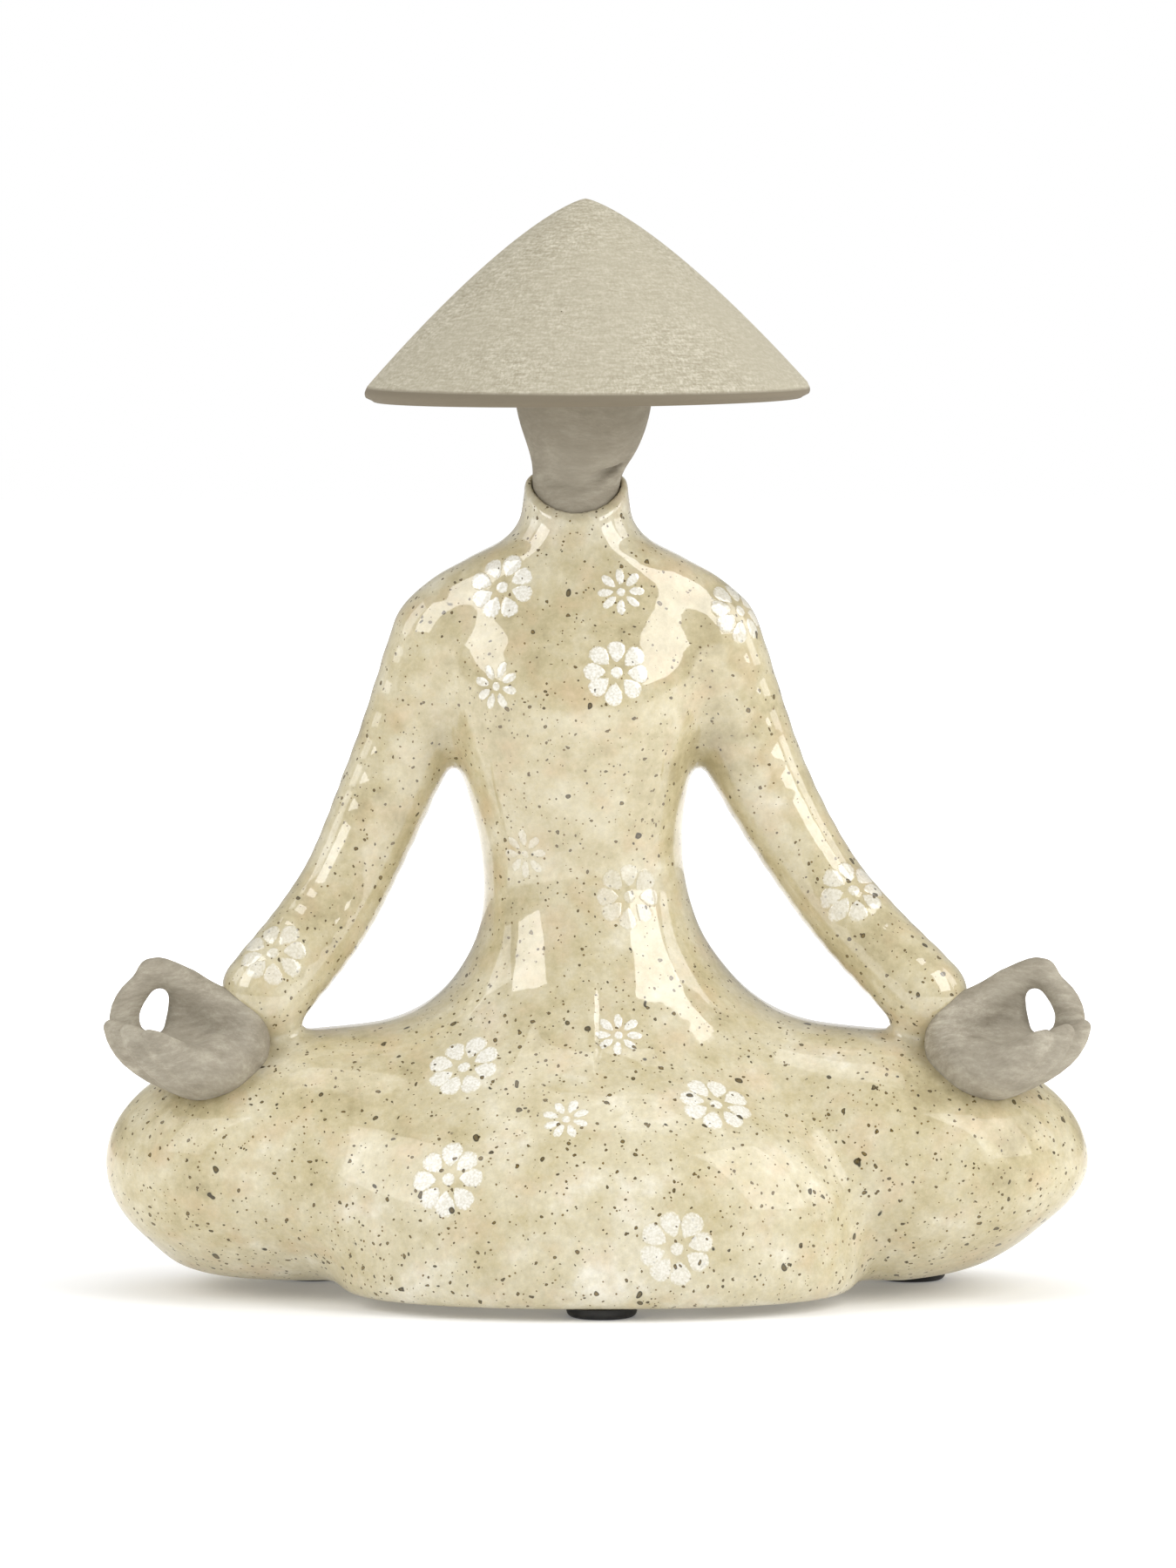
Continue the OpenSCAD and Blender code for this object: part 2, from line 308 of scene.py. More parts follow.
# %% Trunk, lap and arms
shoulder_lean = 4.8
trunk_sections = [
    (50, 38, 36, 6), (62, 34, 31, 6.5), (74, 29.3, 25.5, 7), (86, 24.7, 21, 7),
    (97, 23.2, 19, 7), (107, 23.8, 19.8, 6), (118, 26, 21.2, 5), (130, 28.5, 23, 3.4),
    (140, 31, 23, 3.4), (148, 33, 21.2, 4.4), (154, 34.5, 19, 5.4), (160, 34, 16.8, 6),
    (165, 31, 15.2, 6), (169, 24.5, 14.2, 6), (173, 17, 13.4, 5.8), (177, 13.4, 12.8, 5.4),
    (182, 12.2, 12.4, 5), (188, 11.6, 11.8, 5), (194, 11.3, 11.5, 5),
]
sleeve_run = [
    (0, 30, 6, 150, 12.5), (1, 41, 7, 121.5, 10.8), (2, 52.6, 6, 98, 9.6),
    (3, 62, 1, 84.3, 9.7), (4, 75.5, -6, 69.5, 9.9),
]


def lean(z):
    """How far the figure leans to its right at a height: from the waist up it sits off centre."""
    t = np.clip((z - 55) / 70, 0, 1)
    return -shoulder_lean * t * t * (3 - 2 * t)


def trunk(p):
    """Hips, waist, chest, shoulders and collar, as an oval at each height."""
    row = on_curve(trunk_sections, p[..., 2])
    x = p[..., 0] - lean(p[..., 2])
    y = p[..., 1] - row[..., 3]
    half_w, half_d = row[..., 1], row[..., 2]
    reach = np.sqrt((x / half_w) ** 2 + (y / half_d) ** 2)
    steepness = np.sqrt((x / half_w ** 2) ** 2 + (y / half_d ** 2) ** 2)
    section = reach * (reach - 1) / np.maximum(steepness, 1e-6)
    return smooth_max(section, trunk_sections[0][0] - p[..., 2], 2)


def lap(p):
    """Thighs, knees, heels, seat and crossed shins."""
    outer = np.clip((p[..., 0] - 70) / 38, 0, 1)
    lift = 8 * outer * np.clip((34 - p[..., 2]) / 30, 0, 1)
    q = both_sides(p - np.stack([0 * lift, 0 * lift, lift], -1))
    thigh = tapered_limb(q, (22, 4, 37.5), (58, -1, 34), 29.5, 26.8)
    knee = ellipsoid(q, (knee_reach - 40, 2, 30), (40, 33, 27))
    seat = ellipsoid(q, (0, 20, 24), (58, 35, 36))
    heel = ellipsoid(q, (68, 18, 14), (30, 24, 13))
    shins = cushion(q, (0, 39.5 - shin_reach, 15), (61, 39.5, 38.5), 2.3)
    leg = smooth_min(smooth_min(smooth_min(thigh, knee, 10), seat, 14), heel, 14)
    crease = np.where(p[..., 0] > 0, 7, 7 + 13 * np.clip((p[..., 2] - 4) / 14, 0, 1))
    return smooth_min(leg, shins, crease)


def sleeves(p):
    """Both arms, from the shoulders to the wrists."""
    knuckles = on_curve(sleeve_run, np.linspace(0, 4, 17))[:, 1:]
    q = both_sides(np.stack([p[..., 0] - lean(p[..., 2]), p[..., 1], p[..., 2]], -1))
    return knuckle_chain(q, knuckles, 0.6)


print("robe: trunk of", len(trunk_sections), "sections, sleeves of", len(sleeve_run), "knuckles")

# %% [markdown]
# The collar is cut lower at the throat than at the nape, and the glaze has rounded its edge to a
# thin pale lip. The bore in it takes the neck. The base is ground level, with the vent that every
# hollow casting needs, or it would burst in the kiln.

# %% Collar, base and vent, and the robe's mesh
collar_bore_r = 10.15
collar_bore_depth = 18
throat_drop = 9.5
vent_r = 1.5
vent_depth = 16
waist_fillet = 17
armpit_fillet = 6
lip_round = 1.2
bore_round = 0.8
foot_round = 5
vent_round = 0.5


def collar_z(y):
    """The collar's height: full at the nape, and lower towards the throat."""
    return nape_z - throat_drop * np.clip((11 - y) / 18, 0, 1) ** 1.5


def robe(p):
    """The whole glazed coat, open at the collar and the vent."""
    z = p[..., 2]
    figure = smooth_min(smooth_min(lap(p), trunk(p), waist_fillet), sleeves(p), armpit_fillet)
    from_neck = np.hypot(p[..., 0] - lean(z), p[..., 1] - neck_y)
    figure = smooth_max(figure, z - collar_z(p[..., 1]), lip_round)
    bore = np.maximum(from_neck - collar_bore_r, nape_z - collar_bore_depth - z)
    figure = smooth_max(figure, -bore, bore_round)
    figure = smooth_max(figure, base_z - z, foot_round)
    vent = np.maximum(np.hypot(p[..., 0], p[..., 1] - neck_y) - vent_r, z - vent_depth)
    return smooth_max(figure, -vent, vent_round)


collar_x = lean(nape_z)
close = coarse * 0.62
robe_fine = [
    (collar_x - 15, collar_x + 15, close),
    (neck_y - 15, neck_y + 15, close),
    (nape_z - 16, nape_z + 2, close),
]
glazed_robe = skin_piece("glazed_robe", robe, body_low - 2, body_high + 2, coarse * 1.3, robe_fine)
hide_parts("body", "left_sleeve", "right_sleeve")

# %% [markdown]
# The hands
#
# Each hand was pressed in a small mould and luted into the end of its sleeve: a cupped palm that
# faces up, a thumb that runs straight out to meet the first finger in a loop, and three fingers
# that lie against each other. They are made as the robe is, on one side, and folded over.

# %% Palm, thumb and fingers
# Each row is a knuckle of the hand on +X: across, along, up and radius.
thumb = [
    (101.7, -11, 75.3, 2.8), (99.5, -10.6, 75, 3.2), (94.8, -9.8, 72.5, 3.6),
    (89.7, -9.5, 68.8, 4.2), (84, -10, 64.5, 5.6),
]
thumb_web = [(94, -7.8, 70.8, 3.8), (92.8, -8.5, 66, 5.3), (93.6, -10.5, 60, 5.3), (94, -13, 57, 5)]
index_finger = [
    (94, -13, 55.8, 5), (101.5, -13.2, 56.6, 4.3), (106.6, -13, 59.8, 3.7), (107.9, -12.8, 64.6, 3.4),
    (106.7, -12.4, 68.6, 3.2), (104.1, -12, 71.9, 2.8), (102.3, -11.5, 73.6, 2.5),
]
middle_finger = [
    (91.5, -14, 52.9, 6), (99, -16.8, 53.9, 4.7), (105.2, -17.4, 57.2, 3.9),
    (108.6, -17, 60.3, 3), (110.7, -16.2, 62.8, 1.8),
]
ring_finger = [
    (89, -17, 53, 6), (95.8, -20.8, 53.9, 4.8), (101.3, -21.8, 57.3, 3.9),
    (104.7, -21.2, 60.2, 3), (106.7, -20.3, 62.2, 1.8),
]
little_finger = [
    (86.5, -19, 54.5, 6), (91.6, -23.6, 54.6, 4.8), (96.7, -25.2, 57.4, 3.8),
    (99.9, -24.8, 59.8, 2.9), (101.8, -24, 61.4, 1.7),
]


def hands(p):
    """Both hands: the palm's two mounds and the thumb's web, a hollow pressed in them, then fingers."""
    q = both_sides(p)
    wrist_mound = ellipsoid(q, (85.9, -12.5, 58.8), (11.2, 11, 11.4))
    finger_mound = ellipsoid(q, (90.5, -17, 54.8), (9.5, 9.5, 8.3))
    palm = smooth_min(smooth_min(wrist_mound, finger_mound, 5), swept_limb(q, thumb_web, 7), 4)
    hollow = ellipsoid(q, (91, -26.5, 66), (12, 14, 10))
    palm = smooth_max(palm, -hollow, 6)
    palm = smooth_min(palm, swept_limb(q, thumb, 12), 2)
    fingers = swept_limb(q, index_finger, 15)
    for finger in (middle_finger, ring_finger, little_finger):
        fingers = smooth_min(fingers, swept_limb(q, finger, 11), 0.35)
    return smooth_min(palm, fingers, 2.5)


for side in ("left", "right"):
    low, high = box_mm(side + "_hand")
    hand = skin_piece(side + "_clay_hand", hands, low - 1.5, high + 1.5, coarse * 0.55)
    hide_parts(side + "_hand")

# %% [markdown]
# The head
#
# The head is an egg of clay with a blank face, smoothed with a wet brush. Its jaw runs down into
# the neck, and where the two were joined a shallow crease is left on one side.

# %% Head and neck
head_x = (head_low[0] + head_high[0]) / 2
crown_z = head_high[2]
skull_z = hat_low[2] + 6


def head_form(p):
    """Skull, flat crown and neck, with the crease under the jaw."""
    z = p[..., 2]
    skull = ellipsoid(p, (head_x, neck_y - 1, skull_z), (16, 17, 26))
    crown = np.hypot(p[..., 0] - head_x, p[..., 1] - neck_y)
    crown = np.maximum(crown - 12, np.abs(z - crown_z + 12) - 12)
    neck = np.hypot(p[..., 0] - lean(180.0), p[..., 1] - neck_y) - (collar_bore_r - 0.15)
    neck = np.maximum(neck, np.maximum(head_low[2] - z, z - skull_z))
    form = smooth_min(smooth_min(skull, crown, 6), neck, 2.5)
    jaw = [
        (4.2, neck_y - 5.5, 190.5, 1.2), (-1, neck_y - 10, 187, 1.1),
        (-6.5, neck_y - 11, 185.4, 1), (-13, neck_y - 7.5, 188, 0.8),
    ]
    return smooth_max(form, -swept_limb(p, jaw, 9), 1.6)


clay_head = skin_piece("clay_head", head_form, head_low - 2, head_high + 2, coarse * 0.8)
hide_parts("head")

# %% [markdown]
# The hat
#
# The hat is a thin cone, pressed over a form and trimmed at the rim. Its slope is slightly hollow:
# it falls from the tip as the radius to a power. A shape with such a rule is what Geometry Nodes
# are good at, so the tree below turns a flat grid into it: one way round the grid is the way round
# the hat, and the other way is the way along the hat's outline.

# %% A helper that builds node trees, and the hat's outline
def add(tree, kind, inputs=None, **settings):
    """Adds a node to a tree, with its settings, and its inputs as numbers or as other sockets."""
    node = tree.nodes.new(kind)
    for name, value in settings.items():
        setattr(node, name, value)
    for place, value in (inputs or {}).items():
        if isinstance(value, bpy.types.NodeSocket):
            tree.links.new(value, node.inputs[place])
        else:
            node.inputs[place].default_value = value
    return node


def arc(middle, radius, start, end, count):
    """Points on an arc of an outline, as (distance from the axis, height); angles in degrees."""
    turns = np.radians(np.linspace(start, end, count))
    return [(middle[0] + radius * math.cos(a), middle[1] + radius * math.sin(a)) for a in turns]


hat_r = (hat_high[0] - hat_low[0]) / 2
hat_x = (hat_low[0] + hat_high[0]) / 2
hat_tilt = 0.6
rim_z = hat_low[2] + 0.53
tip_z = hat_high[2]
rim_edge = 2.9
wall_inset = 4.9
crown_r = 13.4
slope_drop = tip_z - rim_z - rim_edge
slope = [(hat_r * t ** 1.25, tip_z - slope_drop * t ** (5 / 3)) for t in np.linspace(0, 0.99, 90)]
rim = arc((hat_r - 1.5, rim_z + rim_edge - 1.0), 1.5, 25, -35, 10)
rim += arc((hat_r - 2.4, rim_z + 0.9), 0.9, -40, -90, 6)
hollow_r = hat_r - wall_inset - crown_r
hollow_rise = crown_z - rim_z - 0.6
inside = [(hat_r - 4.2, rim_z), (hat_r - wall_inset, rim_z + 0.6)]
inside += [(crown_r + t * hollow_r, crown_z - t * hollow_rise) for t in np.linspace(1, 0, 40)[1:]]
hat_outline = slope + rim + inside + [(6, crown_z), (0, crown_z)]
print("hat outline of", len(hat_outline), "points, rim", round(hat_r, 1), "mm from the axis")

# %% [markdown]
# A potter's wheel in nodes
#
# The tree takes an outline, a row of points beside an axis, and turns it all the way round. It
# makes a grid, looks up for each of the grid's rows the outline's point with that number, and
# swings it round the axis by the grid's other coordinate. The hat and the three pads are thrown
# on the same wheel.

# %% The wheel
def wheel_tree():
    """The node tree that turns an outline all the way round the upright axis."""
    tree = bpy.data.node_groups.new("wheel", "GeometryNodeTree")
    face = tree.interface
    face.new_socket("Outline", in_out="INPUT", socket_type="NodeSocketGeometry")
    face.new_socket("Rows", in_out="INPUT", socket_type="NodeSocketInt")
    face.new_socket("Columns", in_out="INPUT", socket_type="NodeSocketInt")
    face.new_socket("Material", in_out="INPUT", socket_type="NodeSocketMaterial")
    face.new_socket("Piece", in_out="OUTPUT", socket_type="NodeSocketGeometry")
    start = add(tree, "NodeGroupInput").outputs
    grid = add(tree, "GeometryNodeMeshGrid", {"Size X": 1, "Size Y": 1,
                                              "Vertices X": start["Columns"], "Vertices Y": start["Rows"]})
    place = add(tree, "GeometryNodeInputPosition")
    part = add(tree, "ShaderNodeSeparateXYZ", {0: place.outputs[0]})
    last = add(tree, "ShaderNodeMath", {0: start["Rows"], 1: 1}, operation="SUBTRACT")
    row = add(tree, "ShaderNodeMath", {0: part.outputs["Y"], 1: last.outputs[0]}, operation="MULTIPLY")
    half = add(tree, "ShaderNodeMath", {0: last.outputs[0], 1: 0.5}, operation="MULTIPLY")
    row = add(tree, "ShaderNodeMath", {0: row.outputs[0], 1: half.outputs[0]}, operation="ADD")
    row = add(tree, "ShaderNodeMath", {0: row.outputs[0]}, operation="ROUND")
    point = add(tree, "GeometryNodeSampleIndex", {"Geometry": start["Outline"], "Value": place.outputs[0],
                                                  "Index": row.outputs[0]}, data_type="FLOAT_VECTOR")
    outline = add(tree, "ShaderNodeSeparateXYZ", {0: point.outputs[0]})
    turn = add(tree, "ShaderNodeMath", {0: part.outputs["X"], 1: math.tau}, operation="MULTIPLY")
    across = add(tree, "ShaderNodeMath", {0: turn.outputs[0]}, operation="COSINE")
    along = add(tree, "ShaderNodeMath", {0: turn.outputs[0]}, operation="SINE")
    x = add(tree, "ShaderNodeMath", {0: across.outputs[0], 1: outline.outputs["X"]}, operation="MULTIPLY")
    y = add(tree, "ShaderNodeMath", {0: along.outputs[0], 1: outline.outputs["X"]}, operation="MULTIPLY")
    spot = add(tree, "ShaderNodeCombineXYZ", {"X": x.outputs[0], "Y": y.outputs[0],
                                              "Z": outline.outputs["Z"]})
    thrown = add(tree, "GeometryNodeSetPosition", {"Geometry": grid.outputs[0], "Position": spot.outputs[0]})
    closed = add(tree, "GeometryNodeMergeByDistance", {"Geometry": thrown.outputs[0],
                                                       "Distance": 0.005 * MM})
    solid = add(tree, "GeometryNodeRealizeInstances", {"Geometry": closed.outputs[0]})
    finish = add(tree, "GeometryNodeSetMaterial", {"Geometry": solid.outputs[0],
                                                   "Material": start["Material"]})
    add(tree, "NodeGroupOutput", {"Piece": finish.outputs[0]})
    return tree


def run_tree(piece, tree, **values):
    """Gives a piece a Geometry Nodes modifier, sets its named inputs, and keeps the plain result."""
    modifier = piece.modifiers.new("nodes", "NODES")
    modifier.node_group = tree
    named = {item.name: item.identifier for item in tree.interface.items_tree if item.in_out == "INPUT"}
    for name, value in values.items():
        modifier[named[name.replace("_", " ")]] = value
    piece.update_tag()
    bpy.context.view_layer.update()
    result = bpy.data.meshes.new_from_object(piece.evaluated_get(bpy.context.evaluated_depsgraph_get()))
    piece.modifiers.clear()
    piece.data = result
    return piece


def face_outwards(piece):
    """Recalculates a closed mesh's normals, and shades it smooth but for edges over 40 degrees."""
    mesh = bmesh.new()
    mesh.from_mesh(piece.data)
    bmesh.ops.recalc_face_normals(mesh, faces=mesh.faces)
    mesh.to_mesh(piece.data)
    mesh.free()
    piece.data.shade_smooth()
    piece.data.set_sharp_from_angle(angle=math.radians(40))


wheel = wheel_tree()


def throw(name, outline, middle, tilt=0.0, columns=144):
    """A piece thrown on the wheel, then tilted about its inside and put in its place."""
    edges = [(i, i + 1) for i in range(len(outline) - 1)]
    mesh = bpy.data.meshes.new(name)
    mesh.from_pydata([(r * MM, 0, z * MM) for r, z in outline], edges, [])
    piece = bpy.data.objects.new(name, mesh)
    bpy.context.scene.collection.objects.link(piece)
    run_tree(piece, wheel, Rows=len(outline), Columns=columns + 1)
    centre = Vector((0, 0, crown_z * MM))
    turn = Matrix.Rotation(math.radians(-tilt), 4, "Y")
    turn = Matrix.Translation(centre) @ turn @ Matrix.Translation(-centre)
    piece.data.transform(Matrix.Translation(Vector((middle[0], middle[1], 0)) * MM) @ turn)
    face_outwards(piece)
    print(f"{name}: {len(piece.data.polygons)} faces")
    return piece


clay_hat = throw("clay_hat", hat_outline, (hat_x, neck_y), hat_tilt)
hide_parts("hat")

# %% [markdown]
# The pads
#
# Three black rubber bumpers are stuck under the base, so that the ground clay doesn't scratch the
# shelf. Such a bumper is moulded with a flat back and a soft round edge, and its foot is a little
# domed.

# %% Three pads on the same wheel
for side in ("front", "left", "right"):
    low, high = box_mm(side + "_pad")
    pad_r = (high[0] - low[0]) / 2
    pad_t = high[2]
    outline = [(0, 0), (pad_r * 0.45, 0.02)] + arc((pad_r - 1.6, 1.6), 1.6, -80, 0, 8)
    outline += arc((pad_r - 0.3, pad_t - 0.3), 0.3, 0, 90, 4) + [(0, pad_t)]
    pad = throw(side + "_rubber_pad", outline, (low + high)[:2] / 2, 0, 64)
    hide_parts(side + "_pad")

# %% [markdown]
# The flower marks
#
# White slip is dabbed on with a stencil before the last glaze: eight petals round a dot, some
# plump and some thin and pointed, with grainy edges. A decal would be flat, so each mark is a thin
# swelling that follows the robe. The tree makes one petal from a sphere pressed flat, sets eight
# of them round the middle, drops every point on the robe along the mark's own direction, and
# raises it by a few hundredths of a millimetre. It also stores how far in from the petal's
# edge each point lies, so that the finish can let the white break up there.

# %% The tree that stamps a flower on the robe
def flower_tree():
    """The node tree that makes one flower mark and lays it on the robe."""
    tree = bpy.data.node_groups.new("flower", "GeometryNodeTree")
    face = tree.interface
    face.new_socket("Geometry", in_out="INPUT", socket_type="NodeSocketGeometry")
    face.new_socket("Robe", in_out="INPUT", socket_type="NodeSocketObject")
    face.new_socket("Middle", in_out="INPUT", socket_type="NodeSocketVector")
    face.new_socket("Facing", in_out="INPUT", socket_type="NodeSocketVector")
    face.new_socket("Petals", in_out="INPUT", socket_type="NodeSocketInt")
    for name in ("Heart", "Length", "Half Width", "Taper", "Spin", "Rise", "Wobble", "Cover"):
        face.new_socket(name, in_out="INPUT", socket_type="NodeSocketFloat")
    face.new_socket("Material", in_out="INPUT", socket_type="NodeSocketMaterial")
    face.new_socket("Mark", in_out="OUTPUT", socket_type="NodeSocketGeometry")
    start = add(tree, "NodeGroupInput").outputs
    place = add(tree, "GeometryNodeInputPosition").outputs[0]

    ball = add(tree, "GeometryNodeMeshUVSphere", {"Segments": 20, "Rings": 12, "Radius": 1})
    part = add(tree, "ShaderNodeSeparateXYZ", {0: place}).outputs
    outward = add(tree, "ShaderNodeMapRange", {"Value": part["X"], 1: -1, 2: 1, 3: 0.02, 4: 1}).outputs[0]
    narrow = add(tree, "ShaderNodeMath", {0: outward, 1: start["Taper"]}, operation="POWER").outputs[0]
    reach = add(tree, "ShaderNodeMath", {0: outward, 1: start["Length"], 2: start["Heart"]},
                operation="MULTIPLY_ADD").outputs[0]
    width = add(tree, "ShaderNodeMath", {0: part["Y"], 1: start["Half Width"]},
                operation="MULTIPLY").outputs[0]
    width = add(tree, "ShaderNodeMath", {0: width, 1: narrow}, operation="MULTIPLY").outputs[0]
    petal_at = add(tree, "ShaderNodeCombineXYZ", {"X": reach, "Y": width, "Z": part["Z"]}).outputs[0]
    petal = add(tree, "GeometryNodeSetPosition", {"Geometry": ball.outputs[0], "Position": petal_at})

    ring = add(tree, "GeometryNodeMeshCircle", {"Vertices": start["Petals"], "Radius": 0})
    number = add(tree, "GeometryNodeInputIndex").outputs[0]
    step = add(tree, "ShaderNodeMath", {0: math.tau, 1: start["Petals"]}, operation="DIVIDE").outputs[0]
    jitter = add(tree, "FunctionNodeRandomValue", {2: -0.08, 3: 0.08, "ID": number, "Seed": 3}).outputs[1]
    turn = add(tree, "ShaderNodeMath", {0: number, 1: step, 2: start["Spin"]},
               operation="MULTIPLY_ADD").outputs[0]
    turn = add(tree, "ShaderNodeMath", {0: turn, 1: jitter}, operation="ADD").outputs[0]
    turned = add(tree, "ShaderNodeCombineXYZ", {"Z": turn}).outputs[0]
    size = add(tree, "FunctionNodeRandomValue", {2: 0.9, 3: 1.08, "ID": number, "Seed": 5}).outputs[1]
    grown = add(tree, "ShaderNodeCombineXYZ", {"X": size, "Y": size, "Z": 1}).outputs[0]
    petals = add(tree, "GeometryNodeInstanceOnPoints", {"Points": ring.outputs[0],
                                                        "Instance": petal.outputs[0],
                                                        "Rotation": turned, "Scale": grown})
    dot_size = add(tree, "ShaderNodeMath", {0: start["Heart"], 1: 0.62}, operation="MULTIPLY").outputs[0]
    dot_scale = add(tree, "ShaderNodeCombineXYZ", {"X": dot_size, "Y": dot_size, "Z": 1}).outputs[0]
    dot_at = add(tree, "ShaderNodeVectorMath", {0: place, 1: dot_scale}, operation="MULTIPLY")
    dot = add(tree, "GeometryNodeSetPosition", {"Geometry": ball.outputs[0],
                                                "Position": dot_at.outputs[0]})
    joined = add(tree, "GeometryNodeJoinGeometry", {0: dot.outputs[0]})
    tree.links.new(petals.outputs[0], joined.inputs[0])
    flat = add(tree, "GeometryNodeRealizeInstances", {"Geometry": joined.outputs[0]})

    inward = add(tree, "ShaderNodeSeparateXYZ", {0: place}).outputs["Z"]
    kept = add(tree, "GeometryNodeStoreNamedAttribute", {"Geometry": flat.outputs[0],
                                                         "Name": "petal_rise", "Value": inward},
               data_type="FLOAT", domain="POINT")
    cover = add(tree, "GeometryNodeStoreNamedAttribute", {"Geometry": kept.outputs[0],
                                                          "Name": "petal_cover",
                                                          "Value": start["Cover"]},
                data_type="FLOAT", domain="POINT")

    ragged = add(tree, "ShaderNodeTexNoise", {"Vector": place, "Scale": 1 / (1.6 * MM), "Detail": 2})
    ragged = add(tree, "ShaderNodeVectorMath", {0: ragged.outputs["Color"], 1: (0.5, 0.5, 0.5)},
                 operation="SUBTRACT")
    ragged = add(tree, "ShaderNodeVectorMath", {0: ragged.outputs[0], "Scale": start["Wobble"]},
                 operation="SCALE")
    level = add(tree, "ShaderNodeVectorMath", {0: place, 1: (1, 1, 0)}, operation="MULTIPLY")
    level = add(tree, "ShaderNodeVectorMath", {0: level.outputs[0], 1: ragged.outputs[0]}, operation="ADD")
    aim = add(tree, "FunctionNodeAlignRotationToVector", {"Vector": start["Facing"]}, axis="Z")
    swung = add(tree, "FunctionNodeRotateVector", {"Vector": level.outputs[0], "Rotation": aim.outputs[0]})
    above = add(tree, "ShaderNodeVectorMath", {0: start["Facing"], "Scale": 8 * MM}, operation="SCALE")
    above = add(tree, "ShaderNodeVectorMath", {0: above.outputs[0], 1: start["Middle"]}, operation="ADD")
    above = add(tree, "ShaderNodeVectorMath", {0: above.outputs[0], 1: swung.outputs[0]}, operation="ADD")
    down = add(tree, "ShaderNodeVectorMath", {0: start["Facing"], "Scale": -1}, operation="SCALE")
    robe_in = add(tree, "GeometryNodeObjectInfo", {"Object": start["Robe"]})
    hit = add(tree, "GeometryNodeRaycast", {"Target Geometry": robe_in.outputs["Geometry"],
                                            "Source Position": above.outputs[0],
                                            "Ray Direction": down.outputs[0],
                                            "Ray Length": 30 * MM})
    swell = add(tree, "ShaderNodeMath", {0: inward, 1: start["Rise"]}, operation="MULTIPLY").outputs[0]
    sink = add(tree, "ShaderNodeMath", {0: swell, 1: -0.15 * MM}, operation="MAXIMUM").outputs[0]
    lifted = add(tree, "ShaderNodeVectorMath", {0: hit.outputs["Hit Normal"], "Scale": sink},
                 operation="SCALE")
    lifted = add(tree, "ShaderNodeVectorMath", {0: lifted.outputs[0], 1: hit.outputs["Hit Position"]},
                 operation="ADD")
    laid = add(tree, "GeometryNodeSetPosition", {"Geometry": cover.outputs[0],
                                                 "Position": lifted.outputs[0]})
    solid = add(tree, "GeometryNodeRealizeInstances", {"Geometry": laid.outputs[0]})
    finish = add(tree, "GeometryNodeSetMaterial", {"Geometry": solid.outputs[0],
                                                   "Material": start["Material"]})
    add(tree, "NodeGroupOutput", {"Mark": finish.outputs[0]})
    return tree


flower = flower_tree()
print("flower tree of", len(flower.nodes), "nodes")

# %% [markdown]
# The marks are placed as the maker would: plump ones first, thin ones in the gaps. Each is given by
# where it lies across and up the figure and which side it is on, and it is then dropped on the robe.

# %% Where the marks lie
def drop_on_robe(x, z, from_front=True):
    """The point of the robe straight behind or in front of (x, z), and the way its skin faces."""
    way = 1.0 if from_front else -1.0
    y = np.arange(-75, 75, 0.25)
    line = np.stack([np.full_like(y, x), way * y, np.full_like(y, z)], -1)
    first = int(np.argmax(robe(line) < 0))
    point = put_on_skin(robe, line[first][None], 3)
    reach = 0.3
    slope = [float((robe(point + s) - robe(point - s))[0]) for s in np.eye(3) * reach]
    return point[0], np.array(slope) / np.linalg.norm(slope)


plump, wide, thin = "plump", "wide", "thin"
# across, up, kind, spin in degrees, how white, in front
marks = [
    (-21.6, 162.7, plump, 10, 1.0, True), (4.4, 143.9, plump, 5, 1.0, True),
    (32.7, 157, plump, 30, 0.7, True), (7.2, 92.1, plump, 15, 0.45, True),
    (-74, 79.4, plump, 0, 0.6, True), (58.7, 93.2, plump, 20, 0.65, True),
    (-30.2, 54.8, wide, 12, 1.0, True), (26.8, 47.2, wide, 0, 1.0, True),
    (-33.5, 31.7, wide, 25, 1.0, True), (17.8, 16.8, wide, 18, 0.8, True),
    (5.4, 161.7, thin, 8, 1.0, True), (-22.9, 140.6, thin, 0, 0.8, True),
    (-16.4, 101.9, thin, 15, 0.45, True), (4.8, 61.9, thin, 0, 1.0, True),
    (-7, 44.8, thin, 20, 1.0, True),
    (-12, 150, plump, 5, 1.0, False), (20, 132, thin, 12, 1.0, False), (-16, 108, thin, 0, 0.7, False),
    (12, 92, plump, 20, 0.9, False), (-44, 118, plump, 10, 0.9, False), (46, 112, thin, 0, 0.9, False),
    (-30, 52, plump, 15, 1.0, False), (34, 40, plump, 0, 1.0, False), (0, 34, thin, 8, 1.0, False),
    (-70, 40, plump, 22, 1.0, False), (76, 46, thin, 5, 1.0, False),
]
mark_rise = 0.13
edge_wobble = 0.9
kinds = {
    plump: {"Heart": 2.3, "Length": 5.3, "Half_Width": 2.7, "Taper": 0.42, "Petals": 8},
    wide: {"Heart": 2.5, "Length": 6, "Half_Width": 3.05, "Taper": 0.42, "Petals": 8},
    thin: {"Heart": 1.6, "Length": 3.9, "Half_Width": 1.15, "Taper": 0.2, "Petals": 8},
}


